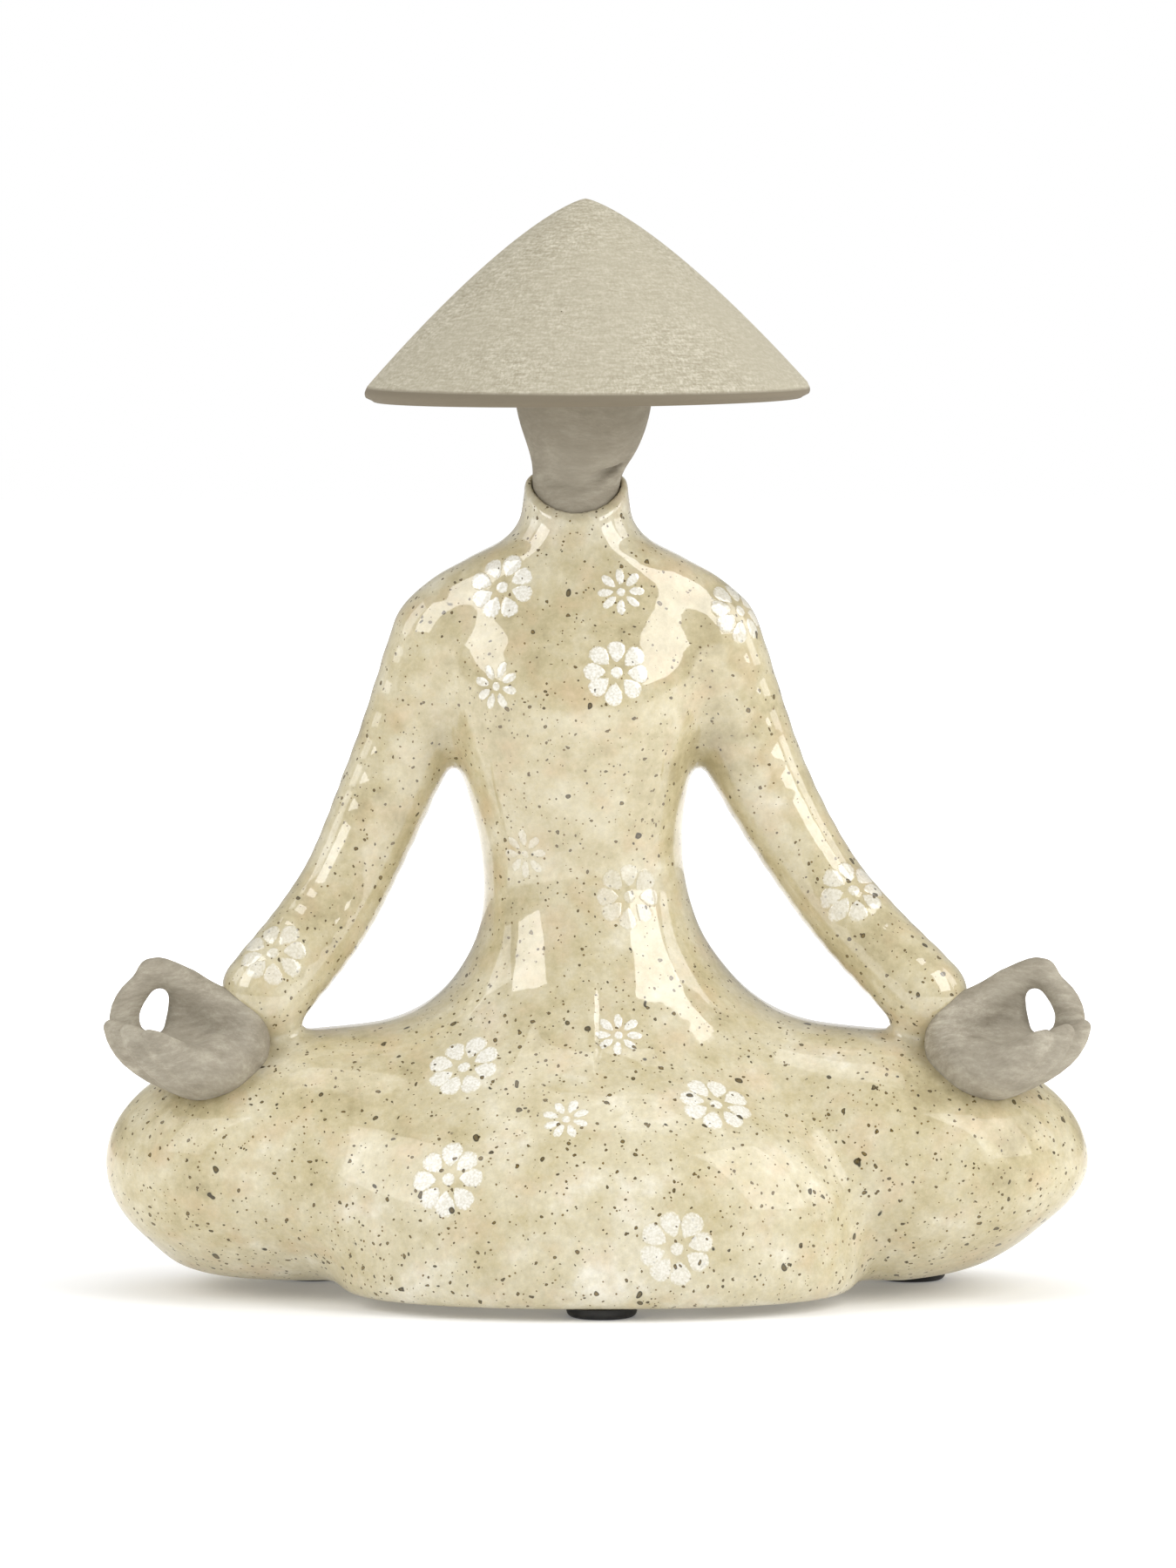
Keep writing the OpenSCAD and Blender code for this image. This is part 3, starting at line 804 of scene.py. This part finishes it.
def stamp(x, z, kind, spin, cover, from_front, count):
    """One flower mark on the robe, as a plain mesh piece."""
    middle, facing = drop_on_robe(x, z, from_front)
    mesh = bpy.data.meshes.new(f"flower_mark_{count}")
    piece = bpy.data.objects.new(mesh.name, mesh)
    bpy.context.scene.collection.objects.link(piece)
    sizes = {name: value * MM for name, value in kinds[kind].items() if name not in ("Taper", "Petals")}
    run_tree(piece, flower, Robe=glazed_robe, Middle=middle * MM, Facing=facing,
             Petals=kinds[kind]["Petals"], Taper=kinds[kind]["Taper"], Spin=math.radians(spin),
             Rise=mark_rise * MM, Wobble=edge_wobble * MM, Cover=cover, **sizes)
    return piece


stamps = [stamp(*mark, count) for count, mark in enumerate(marks)]
with bpy.context.temp_override(active_object=stamps[0], selected_editable_objects=stamps):
    bpy.ops.object.join()
flower_marks = stamps[0]
flower_marks.name = "flower_marks"
face_outwards(flower_marks)
print(f"flower marks: {len(marks)} stamped, {len(flower_marks.data.polygons)} faces")

# %% [markdown]
# Finishes
#
# Every finish starts from what the real surface is and how it was made. Patterns are read from
# the Object coordinates, which stay with the piece, and each pattern's scale is one over its real
# size. Colours are written as the sRGB hex values that a colour picker gives, and one function
# turns them to the linear values that the shader needs.

# %% Colour and scale
def colour(code):
    """An sRGB hex colour as linear red, green, blue and alpha."""
    values = [int(code[i:i + 2], 16) / 255 for i in (1, 3, 5)]
    return tuple(v / 12.92 if v <= 0.04045 else ((v + 0.055) / 1.055) ** 2.4 for v in values) + (1,)


def per_mm(size):
    """A texture's scale for a pattern whose grains are `size` mm across."""
    return 1 / (size * MM)


def new_finish(name):
    """An empty material, its node tree, and the Object coordinates to read patterns from."""
    material = bpy.data.materials.new(name)
    material.use_nodes = True
    tree = material.node_tree
    tree.nodes.clear()
    return material, tree, add(tree, "ShaderNodeTexCoord").outputs["Object"]


def dress(piece, material):
    """Makes a material the piece's only one."""
    piece.data.materials.clear()
    piece.data.materials.append(material)


print("the glaze's mid cream is", [round(v, 3) for v in colour("#D3CAAD")[:3]])

# %% [markdown]
# Speckled cream glaze
#
# The robe's glaze is a clear gloss over a cream slip that holds grains of iron. In the kiln the
# slip clouds between ivory and tan, and each iron grain melts into an olive brown speck: hundreds
# finer than half a millimetre, some a millimetre wide with a dark rim, and a few run into each
# other. The clear coat on top is as smooth as glass, so the softboxes show in it as sharp patches.
#
# The slip's tone is painted by place: paler low on the front and round the collar, as painted light,
# and tan on the chest and out at the knees, as painted shade.

# %% Clouds and specks
def clouds(tree, where):
    """The slip's colour: ivory, cream and tan clouds, a blush of pink here and there, painted light and
    shade.
    """
    wide = add(tree, "ShaderNodeTexNoise", {"Vector": where, "Scale": per_mm(17), "Detail": 8,
                                            "Roughness": 0.7})
    part = add(tree, "ShaderNodeSeparateXYZ", {0: where}).outputs
    # Painted shade: the tone darkens up the trunk, so the chest is tan and the low front paler.
    slip_and_painted_shading = add(tree, "ShaderNodeMapRange", {"Value": part["Z"], 1: 25 * MM, 2: 95 * MM,
                                             3: 0.075, 4: -0.055}).outputs[0]
    # Painted shade: darker out at the knees, only low on the lap.
    aside = add(tree, "ShaderNodeMath", {0: part["X"]}, operation="ABSOLUTE").outputs[0]
    aside = add(tree, "ShaderNodeMapRange", {"Value": aside, 1: 25 * MM, 2: 85 * MM,
                                             3: 0, 4: -0.09}).outputs[0]
    low = add(tree, "ShaderNodeMapRange", {"Value": part["Z"], 1: 75 * MM, 2: 50 * MM}).outputs[0]
    aside = add(tree, "ShaderNodeMath", {0: aside, 1: low}, operation="MULTIPLY").outputs[0]
    # Painted light: paler round the collar.
    collar = add(tree, "ShaderNodeMapRange", {"Value": part["Z"], 1: 160 * MM, 2: 176 * MM,
                                              3: 0, 4: 0.14}).outputs[0]
    slip_and_painted_shading = add(tree, "ShaderNodeMath", {0: slip_and_painted_shading, 1: aside}, operation="ADD").outputs[0]
    slip_and_painted_shading = add(tree, "ShaderNodeMath", {0: slip_and_painted_shading, 1: collar}, operation="ADD").outputs[0]
    slip_and_painted_shading = add(tree, "ShaderNodeMath", {0: wide.outputs["Fac"], 1: slip_and_painted_shading}, operation="ADD").outputs[0]
    tone = add(tree, "ShaderNodeValToRGB", {"Fac": slip_and_painted_shading})
    stops = tone.color_ramp.elements
    stops[0].position, stops[0].color = 0.3, colour("#AB9E78")
    stops[1].position, stops[1].color = 0.76, colour("#ECE7D7")
    stops.new(0.43).color = colour("#C3B792")
    stops.new(0.58).color = colour("#D3CAAD")
    blush = add(tree, "ShaderNodeTexNoise", {"Vector": where, "Scale": per_mm(9), "Detail": 3,
                                             "Roughness": 0.5})
    amount = add(tree, "ShaderNodeMapRange", {"Value": blush.outputs["Fac"], 1: 0.52, 2: 0.75,
                                              3: 0, 4: 0.5})
    warm = add(tree, "ShaderNodeMix", {0: amount.outputs[0], 6: tone.outputs[0], 7: colour("#CDB48E")},
               data_type="RGBA")
    fine = add(tree, "ShaderNodeTexNoise", {"Vector": where, "Scale": per_mm(1.6), "Detail": 6,
                                            "Roughness": 0.75})
    grain = add(tree, "ShaderNodeMapRange", {"Value": fine.outputs["Fac"], 1: 0.3, 2: 0.7,
                                             3: 0.87, 4: 1.08})
    return add(tree, "ShaderNodeMix", {0: 1.0, 6: warm.outputs[2], 7: grain.outputs[0]},
               data_type="RGBA", blend_type="MULTIPLY").outputs[2]


def specks(tree, where, under, spacing, radius, share, body, rim, thinning=0.0):
    """Iron specks over a colour. One may lie in each cell of `spacing` mm, and `share` of them do.

    Up the figure the share falls by `thinning`, because the heavy grains sink to the lap.
    """
    height = add(tree, "ShaderNodeSeparateXYZ", {0: where}).outputs["Z"]
    dense = add(tree, "ShaderNodeMapRange", {"Value": height, 1: 30 * MM, 2: 110 * MM,
                                             3: share, 4: share - thinning})
    cells = add(tree, "ShaderNodeTexVoronoi", {"Vector": where, "Scale": per_mm(spacing)}, feature="F1")
    chance = add(tree, "ShaderNodeSeparateColor", {0: cells.outputs["Color"]}).outputs
    uneven = add(tree, "ShaderNodeMath", {0: chance["Red"], 1: 1.6}, operation="POWER")
    size = add(tree, "ShaderNodeMapRange", {"Value": uneven.outputs[0], 3: 0.4 * radius / spacing,
                                            4: radius / spacing})
    depth = add(tree, "ShaderNodeMath", {0: cells.outputs["Distance"], 1: size.outputs[0]},
                operation="DIVIDE")
    there = add(tree, "ShaderNodeMath", {0: chance["Green"], 1: dense.outputs[0]}, operation="LESS_THAN")
    edge = add(tree, "ShaderNodeMapRange", {"Value": depth.outputs[0], 1: 1.0, 2: 0.82, 3: 0, 4: 0.92})
    mask = add(tree, "ShaderNodeMath", {0: edge.outputs[0], 1: there.outputs[0]}, operation="MULTIPLY")
    shell = add(tree, "ShaderNodeMapRange", {"Value": depth.outputs[0], 1: 0.45, 2: 0.75})
    ink = add(tree, "ShaderNodeMix", {0: shell.outputs[0], 6: colour(body), 7: colour(rim)},
              data_type="RGBA")
    return add(tree, "ShaderNodeMix", {0: mask.outputs[0], 6: under, 7: ink.outputs[2]},
               data_type="RGBA").outputs[2]


def bent(tree, where, size, amount):
    """Coordinates pushed about by noise, so that round cells come out as the kiln leaves them."""
    push = add(tree, "ShaderNodeTexNoise", {"Vector": where, "Scale": per_mm(size), "Detail": 1})
    push = add(tree, "ShaderNodeVectorMath", {0: push.outputs["Color"], 1: (0.5, 0.5, 0.5)},
               operation="SUBTRACT")
    push = add(tree, "ShaderNodeVectorMath", {0: push.outputs[0], "Scale": amount * MM}, operation="SCALE")
    return add(tree, "ShaderNodeVectorMath", {0: where, 1: push.outputs[0]}, operation="ADD").outputs[0]


def big_specks(tree, where, under):
    """The specks that lie over everything, the flower marks too."""
    runny = bent(tree, where, 2.2, 1.6)
    some = specks(tree, runny, under, 2.9, 0.62, 0.95, "#6F5A28", "#33260C", 0.4)
    return specks(tree, bent(tree, where, 3.1, 2.4), some, 5.4, 1.05, 0.9, "#584821", "#211806", 0.65)


def small_specks(tree, where, under):
    """The fine specks in the slip itself, which the flower marks cover."""
    fine = specks(tree, bent(tree, where, 1.1, 0.5), under, 1.5, 0.31, 0.9, "#775F2A", "#60491B")
    return specks(tree, bent(tree, where, 1.4, 0.9), fine, 2.2, 0.46, 0.95, "#654F20", "#3A2A0C", 0.1)


def clear_coat(tree, base, where, rough):
    """The glassy coat over a base colour, with the long soft waves of a poured glaze.

    It is poured from the top, so the coat is full on the trunk and thinner on the lap.
    """
    height = add(tree, "ShaderNodeSeparateXYZ", {0: where}).outputs["Z"]
    coat = add(tree, "ShaderNodeMapRange", {"Value": height, 1: 46 * MM, 2: 66 * MM,
                                            3: 0.32, 4: 1}).outputs[0]
    swell = add(tree, "ShaderNodeTexNoise", {"Vector": where, "Scale": per_mm(11), "Detail": 1})
    low = add(tree, "ShaderNodeBump", {"Height": swell.outputs["Fac"], "Strength": 0.35,
                                       "Distance": 0.35 * MM})
    ripple = add(tree, "ShaderNodeTexNoise", {"Vector": where, "Scale": per_mm(3.2), "Detail": 1})
    skin = add(tree, "ShaderNodeBump", {"Height": ripple.outputs["Fac"], "Strength": 0.25,
                                        "Distance": 0.06 * MM, "Normal": low.outputs[0]})
    shader = add(tree, "ShaderNodeBsdfPrincipled", {"Base Color": base, "Roughness": rough,
                                                    "IOR": 1.3, "Normal": skin.outputs[0],
                                                    "Coat Weight": coat,
                                                    "Coat Roughness": 0.04, "Coat IOR": 1.72,
                                                    "Coat Normal": skin.outputs[0]})
    add(tree, "ShaderNodeOutputMaterial", {"Surface": shader.outputs[0]})


speckled_glaze, tree, where = new_finish("speckled_cream_glaze")
clear_coat(tree, big_specks(tree, where, small_specks(tree, where, clouds(tree, where))), where, 0.3)
dress(glazed_robe, speckled_glaze)
print("speckled cream glaze:", len(tree.nodes), "nodes")

# %% [markdown]
# White slip under the glaze
#
# The flower marks are coarse white slip. It is grainy, and thin at the edge, where the cream
# shows through in spots. The mesh carries how far in from the petal's edge a point lies, and noise
# with grains of half a millimetre decides where the white holds. Those grains are coarser than the
# real ones, which would be too fine to show.

# %% Grainy white slip
white_slip, tree, where = new_finish("grainy_white_slip")
rise = add(tree, "ShaderNodeAttribute", attribute_name="petal_rise").outputs["Fac"]
cover = add(tree, "ShaderNodeAttribute", attribute_name="petal_cover").outputs["Fac"]
grains = add(tree, "ShaderNodeTexNoise", {"Vector": where, "Scale": per_mm(0.55), "Detail": 2}).outputs["Fac"]
spotty = add(tree, "ShaderNodeMath", {0: grains, 1: 0.9, 2: -0.45}, operation="MULTIPLY_ADD").outputs[0]
hold = add(tree, "ShaderNodeMath", {0: rise, 1: spotty}, operation="ADD").outputs[0]
hold = add(tree, "ShaderNodeMapRange", {"Value": hold, 1: 0.1, 2: 0.6, 4: 0.92}).outputs[0]
hold = add(tree, "ShaderNodeMath", {0: hold, 1: cover}, operation="MULTIPLY").outputs[0]
sparkle = add(tree, "ShaderNodeMapRange", {"Value": grains, 1: 0.35, 2: 0.65, 3: 0, 4: 1}).outputs[0]
white = add(tree, "ShaderNodeMix", {0: sparkle, 6: colour("#DAD6C8"), 7: colour("#F3F1EA")},
            data_type="RGBA")
slip = add(tree, "ShaderNodeMix", {0: hold, 6: small_specks(tree, where, clouds(tree, where)),
                                   7: white.outputs[2]}, data_type="RGBA")
clear_coat(tree, big_specks(tree, where, slip.outputs[2]), where, 0.35)
dress(flower_marks, white_slip)
print("white slip:", len(tree.nodes), "nodes")

# %% [markdown]
# Bare clay
#
# Head and hands are unglazed stoneware, wiped with a wet brush before firing. That leaves it
# matt, with fine swirling brush lines in close greys and a few iron pinholes. The head is painted
# darker towards its top, as painted shade for the hat's shadow.

# %% Wiped grey clay
def matt_clay(tree, base, grain, strength, depth):
    """Dry unglazed clay: no gloss, and a fine tooth that the bump gives."""
    tooth = add(tree, "ShaderNodeBump", {"Height": grain, "Strength": strength, "Distance": depth * MM})
    shader = add(tree, "ShaderNodeBsdfPrincipled", {"Base Color": base, "Roughness": 0.85, "IOR": 1.45,
                                                    "Specular IOR Level": 0.3, "Normal": tooth.outputs[0]})
    add(tree, "ShaderNodeOutputMaterial", {"Surface": shader.outputs[0]})


wiped_clay, tree, where = new_finish("wiped_grey_clay")
brushed = bent(tree, where, 24, 10)
lines = add(tree, "ShaderNodeMapping", {"Vector": brushed, "Scale": (1, 1, 2.6)}).outputs[0]
lines = add(tree, "ShaderNodeTexNoise", {"Vector": lines, "Scale": per_mm(7), "Detail": 10,
                                         "Roughness": 0.8}).outputs["Fac"]
tone = add(tree, "ShaderNodeValToRGB", {"Fac": lines})
stops = tone.color_ramp.elements
stops[0].position, stops[0].color = 0.33, colour("#837B6B")
stops[1].position, stops[1].color = 0.7, colour("#C1BAA8")
stops.new(0.5).color = colour("#9D9585")
patch = add(tree, "ShaderNodeTexNoise", {"Vector": where, "Scale": per_mm(12), "Detail": 3}).outputs["Fac"]
patch = add(tree, "ShaderNodeMapRange", {"Value": patch, 1: 0.35, 2: 0.7, 3: 0, 4: 0.5}).outputs[0]
clay = add(tree, "ShaderNodeMix", {0: patch, 6: tone.outputs[0], 7: colour("#A19A8A")},
           data_type="RGBA").outputs[2]
height = add(tree, "ShaderNodeSeparateXYZ", {0: where}).outputs["Z"]
# Painted shade: the head darkens upwards under the hat, for the shadow that the hat casts.
painted_hat_shade = add(tree, "ShaderNodeMapRange", {"Value": height, 1: 176 * MM, 2: 200 * MM, 3: 0, 4: 0.6}).outputs[0]
clay = add(tree, "ShaderNodeMix", {0: painted_hat_shade, 6: clay, 7: colour("#7C7464")}, data_type="RGBA").outputs[2]
clay = specks(tree, where, clay, 5.5, 0.22, 0.5, "#4F4839", "#5E5647")
matt_clay(tree, clay, lines, 0.35, 0.1)
for name in ("clay_head", "left_clay_hand", "right_clay_hand"):
    dress(bpy.data.objects[name], wiped_clay)
print("wiped clay:", len(tree.nodes), "nodes")

# %% [markdown]
# Cloth marks on the hat
#
# The hat's clay is paler and was pressed in coarse cloth, so its slope carries a fine woven grain
# with white in its high spots. Two noises make it: one is squeezed upright and gives the threads
# that lie level, and the other is squeezed sideways and gives those that stand. Each thread is a
# run about 3 mm long and half a millimetre across, as coarse as it needs to be to show. The
# trimmed rim has no cloth marks and is darker.

# %% Cloth-pressed pale clay
pressed_clay, tree, where = new_finish("cloth_pressed_clay")
threads = add(tree, "ShaderNodeMapping", {"Vector": where, "Scale": (1, 1, 6)}).outputs[0]
weft = add(tree, "ShaderNodeTexNoise", {"Vector": threads, "Scale": per_mm(3.2), "Detail": 4,
                                        "Roughness": 0.7}).outputs["Fac"]
upright = add(tree, "ShaderNodeMapping", {"Vector": where, "Scale": (5, 5, 1)}).outputs[0]
warp = add(tree, "ShaderNodeTexNoise", {"Vector": upright, "Scale": per_mm(3), "Detail": 4,
                                        "Roughness": 0.7}).outputs["Fac"]
cloth = add(tree, "ShaderNodeMath", {0: weft, 1: warp}, operation="ADD").outputs[0]
relief = add(tree, "ShaderNodeMapRange", {"Value": cloth, 1: 0.66, 2: 1.34}).outputs[0]
tone = add(tree, "ShaderNodeValToRGB", {"Fac": relief})
stops = tone.color_ramp.elements
stops[0].position, stops[0].color = 0.15, colour("#9C947F")
stops[1].position, stops[1].color = 0.9, colour("#D2CCBA")
stops.new(0.5).color = colour("#B2AB97")
drift = add(tree, "ShaderNodeTexNoise", {"Vector": where, "Scale": per_mm(30), "Detail": 2}).outputs["Fac"]
drift = add(tree, "ShaderNodeMapRange", {"Value": drift, 1: 0.36, 2: 0.64, 3: 0.65, 4: 0}).outputs[0]
slope_clay = add(tree, "ShaderNodeMix", {0: drift, 6: tone.outputs[0], 7: colour("#B2AB97")},
                 data_type="RGBA").outputs[2]
height = add(tree, "ShaderNodeSeparateXYZ", {0: where}).outputs["Z"]
at_rim = add(tree, "ShaderNodeMapRange", {"Value": height, 1: (rim_z + 3.4) * MM,
                                          2: (rim_z + 2.6) * MM}).outputs[0]
clay = add(tree, "ShaderNodeMix", {0: at_rim, 6: slope_clay, 7: colour("#7A7160")},
           data_type="RGBA").outputs[2]
clay = specks(tree, where, clay, 8, 0.22, 0.5, "#5A5241", "#6B6250")
matt_clay(tree, clay, cloth, 0.35, 0.08)
dress(clay_hat, pressed_clay)
print("pressed clay:", len(tree.nodes), "nodes")

# %% [markdown]
# Rubber
#
# The pads are moulded rubber: nearly black, with a dull sheen and a fine even grain from the mould.

# %% Moulded rubber
rubber, tree, where = new_finish("moulded_black_rubber")
dust = add(tree, "ShaderNodeTexNoise", {"Vector": where, "Scale": per_mm(2.5), "Detail": 4}).outputs["Fac"]
dust = add(tree, "ShaderNodeMapRange", {"Value": dust, 1: 0.45, 2: 0.8}).outputs[0]
black = add(tree, "ShaderNodeMix", {0: dust, 6: colour("#151515"), 7: colour("#2E2D2B")},
            data_type="RGBA").outputs[2]
grit = add(tree, "ShaderNodeTexNoise", {"Vector": where, "Scale": per_mm(0.3), "Detail": 1}).outputs["Fac"]
grit = add(tree, "ShaderNodeBump", {"Height": grit, "Strength": 0.3, "Distance": 0.03 * MM}).outputs[0]
shader = add(tree, "ShaderNodeBsdfPrincipled", {"Base Color": black, "Roughness": 0.55,
                                                "IOR": 1.52, "Normal": grit})
add(tree, "ShaderNodeOutputMaterial", {"Surface": shader.outputs[0]})
for side in ("front", "left", "right"):
    dress(bpy.data.objects[side + "_rubber_pad"], rubber)
print("rubber:", len(tree.nodes), "nodes")

# %% [markdown]
# Nothing moves
#
# Every piece is luted, glued or stuck to the next, so all of them ride on the one rigid body.

# %% All pieces ride on the root
for piece in bpy.context.scene.objects:
    if piece.type == "MESH" and piece.parent is None:
        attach(piece, "root")
        print(piece.name, "rides on root")

# %% [markdown]
# The camera
#
# Small ornaments are shown with a long lens from far away, which keeps their proportions: a near
# lens would swell the knees. It looks at the middle of the figure, from a little above.

# %% Camera
camera_data = bpy.data.cameras.new("camera")
camera = bpy.data.objects.new("camera", camera_data)
bpy.context.scene.collection.objects.link(camera)
bpy.context.scene.camera = camera
camera_distance = 2200
camera_rise = 165
aim_x = -2.1
aim_z = 116.8
camera_data.sensor_width = 36
camera_data.lens = 220
camera_data.clip_end = 30
look_at = Vector((aim_x, neck_y, aim_z)) * MM
away = math.sqrt(camera_distance ** 2 - camera_rise ** 2)
camera.location = look_at + Vector((0, -away, camera_rise)) * MM
camera.rotation_euler = (look_at - camera.location).to_track_quat("-Z", "Y").to_euler()
print("camera at", [round(v, 3) for v in camera.location])

# %% [markdown]
# Floor and backdrop
#
# The figure stands on matt white paper that glows, as painted light, so the ground stays pure
# white. Close to the figure the paper glows less, a painted contact shadow round the base. Far
# behind it glows more, painted light where the lamps don't reach. A lit white wall closes the view.

# %% Paper floor and lit wall
def sheet(name, low, high, material):
    """A flat sheet between two opposite corners in millimetres: a floor, or a wall without depth."""
    (x0, y0, z0), (x1, y1, z1) = low, high
    if y0 == y1:
        corners = [(x0, y0, z0), (x1, y0, z0), (x1, y0, z1), (x0, y0, z1)]
    else:
        corners = [(x0, y0, z0), (x1, y0, z0), (x1, y1, z0), (x0, y1, z0)]
    piece = mesh_of(name, corners, [(0, 1, 2, 3)])
    dress(piece, material)


paper, tree, where = new_finish("white_paper_sweep")
# Painted shadow: the paper glows less near the figure, which draws the contact shadow round the base.
distance = add(tree, "ShaderNodeVectorMath", {0: where, 1: (0.6, 0.85, 1)}, operation="MULTIPLY").outputs[0]
distance = add(tree, "ShaderNodeVectorMath", {0: distance}, operation="LENGTH").outputs["Value"]
lit = add(tree, "ShaderNodeMapRange", {"Value": distance, 1: 58 * MM, 2: 100 * MM,
                                       3: 0.16, 4: 0.55}).outputs[0]
# Painted light: the paper glows more far behind, where the lamps don't reach.
behind = add(tree, "ShaderNodeSeparateXYZ", {0: where}).outputs["Y"]
far_lit = add(tree, "ShaderNodeMapRange", {"Value": behind, 1: 300 * MM, 2: 900 * MM,
                                           3: 0, 4: 0.35}).outputs[0]
lit = add(tree, "ShaderNodeMath", {0: lit, 1: far_lit}, operation="ADD").outputs[0]
shader = add(tree, "ShaderNodeBsdfPrincipled", {"Base Color": (0.86, 0.86, 0.86, 1), "Roughness": 0.9,
                                                "Specular IOR Level": 0.1, "Emission Strength": lit,
                                                "Emission Color": (1, 1, 1, 1)})
add(tree, "ShaderNodeOutputMaterial", {"Surface": shader.outputs[0]})
sheet("floor", (-4000, -4000, 0), (4000, 4000, 0), paper)
glow, tree, where = new_finish("lit_white_backdrop")
shader = add(tree, "ShaderNodeEmission", {"Color": (1, 1, 1, 1), "Strength": 1.0})
add(tree, "ShaderNodeOutputMaterial", {"Surface": shader.outputs[0]})
sheet("backdrop", (-900, 4000, 0), (900, 4000, 1400), glow)
print("floor and backdrop are in place")

# %% [markdown]
# Lamps
#
# Two tall softboxes stand in front at the left and right, a little above the figure. They give the
# glaze its patches of highlight on both sides of the chest. A weaker one at each side draws a
# bright line down the outer sleeve, and a wide one overhead lifts the lap. The white room fills in.

# %% Softboxes and room
def softbox(name, place, size, power):
    """A rectangular lamp that faces the figure; place and size in metres, power in watts."""
    light = bpy.data.lights.new(name, "AREA")
    light.shape = "RECTANGLE"
    light.size, light.size_y = size
    light.energy = power
    lamp = bpy.data.objects.new(name, light)
    bpy.context.scene.collection.objects.link(lamp)
    lamp.location = place
    lamp.rotation_euler = (Vector((0, 0, 0.12)) - lamp.location).to_track_quat("-Z", "Y").to_euler()
    print(name, power, "W")


softbox("left_softbox", (-1.4, -0.8, 1.2), (0.9, 1.4), 14)
softbox("right_softbox", (1.4, -0.8, 1.2), (1.1, 1.6), 23)
softbox("left_side_softbox", (-1.4, 0.1, 0.9), (0.6, 1.0), 3)
softbox("right_side_softbox", (1.4, 0.1, 0.9), (0.6, 1.1), 4.5)
softbox("overhead_softbox", (0, -0.1, 1.9), (1.2, 0.6), 4)
world = bpy.data.worlds.new("white_room")
bpy.context.scene.world = world
world.use_nodes = True
world.node_tree.nodes["Background"].inputs["Color"].default_value = (1, 1, 1, 1)
world.node_tree.nodes["Background"].inputs["Strength"].default_value = 0.4
bpy.context.scene.view_settings.view_transform = "Standard"
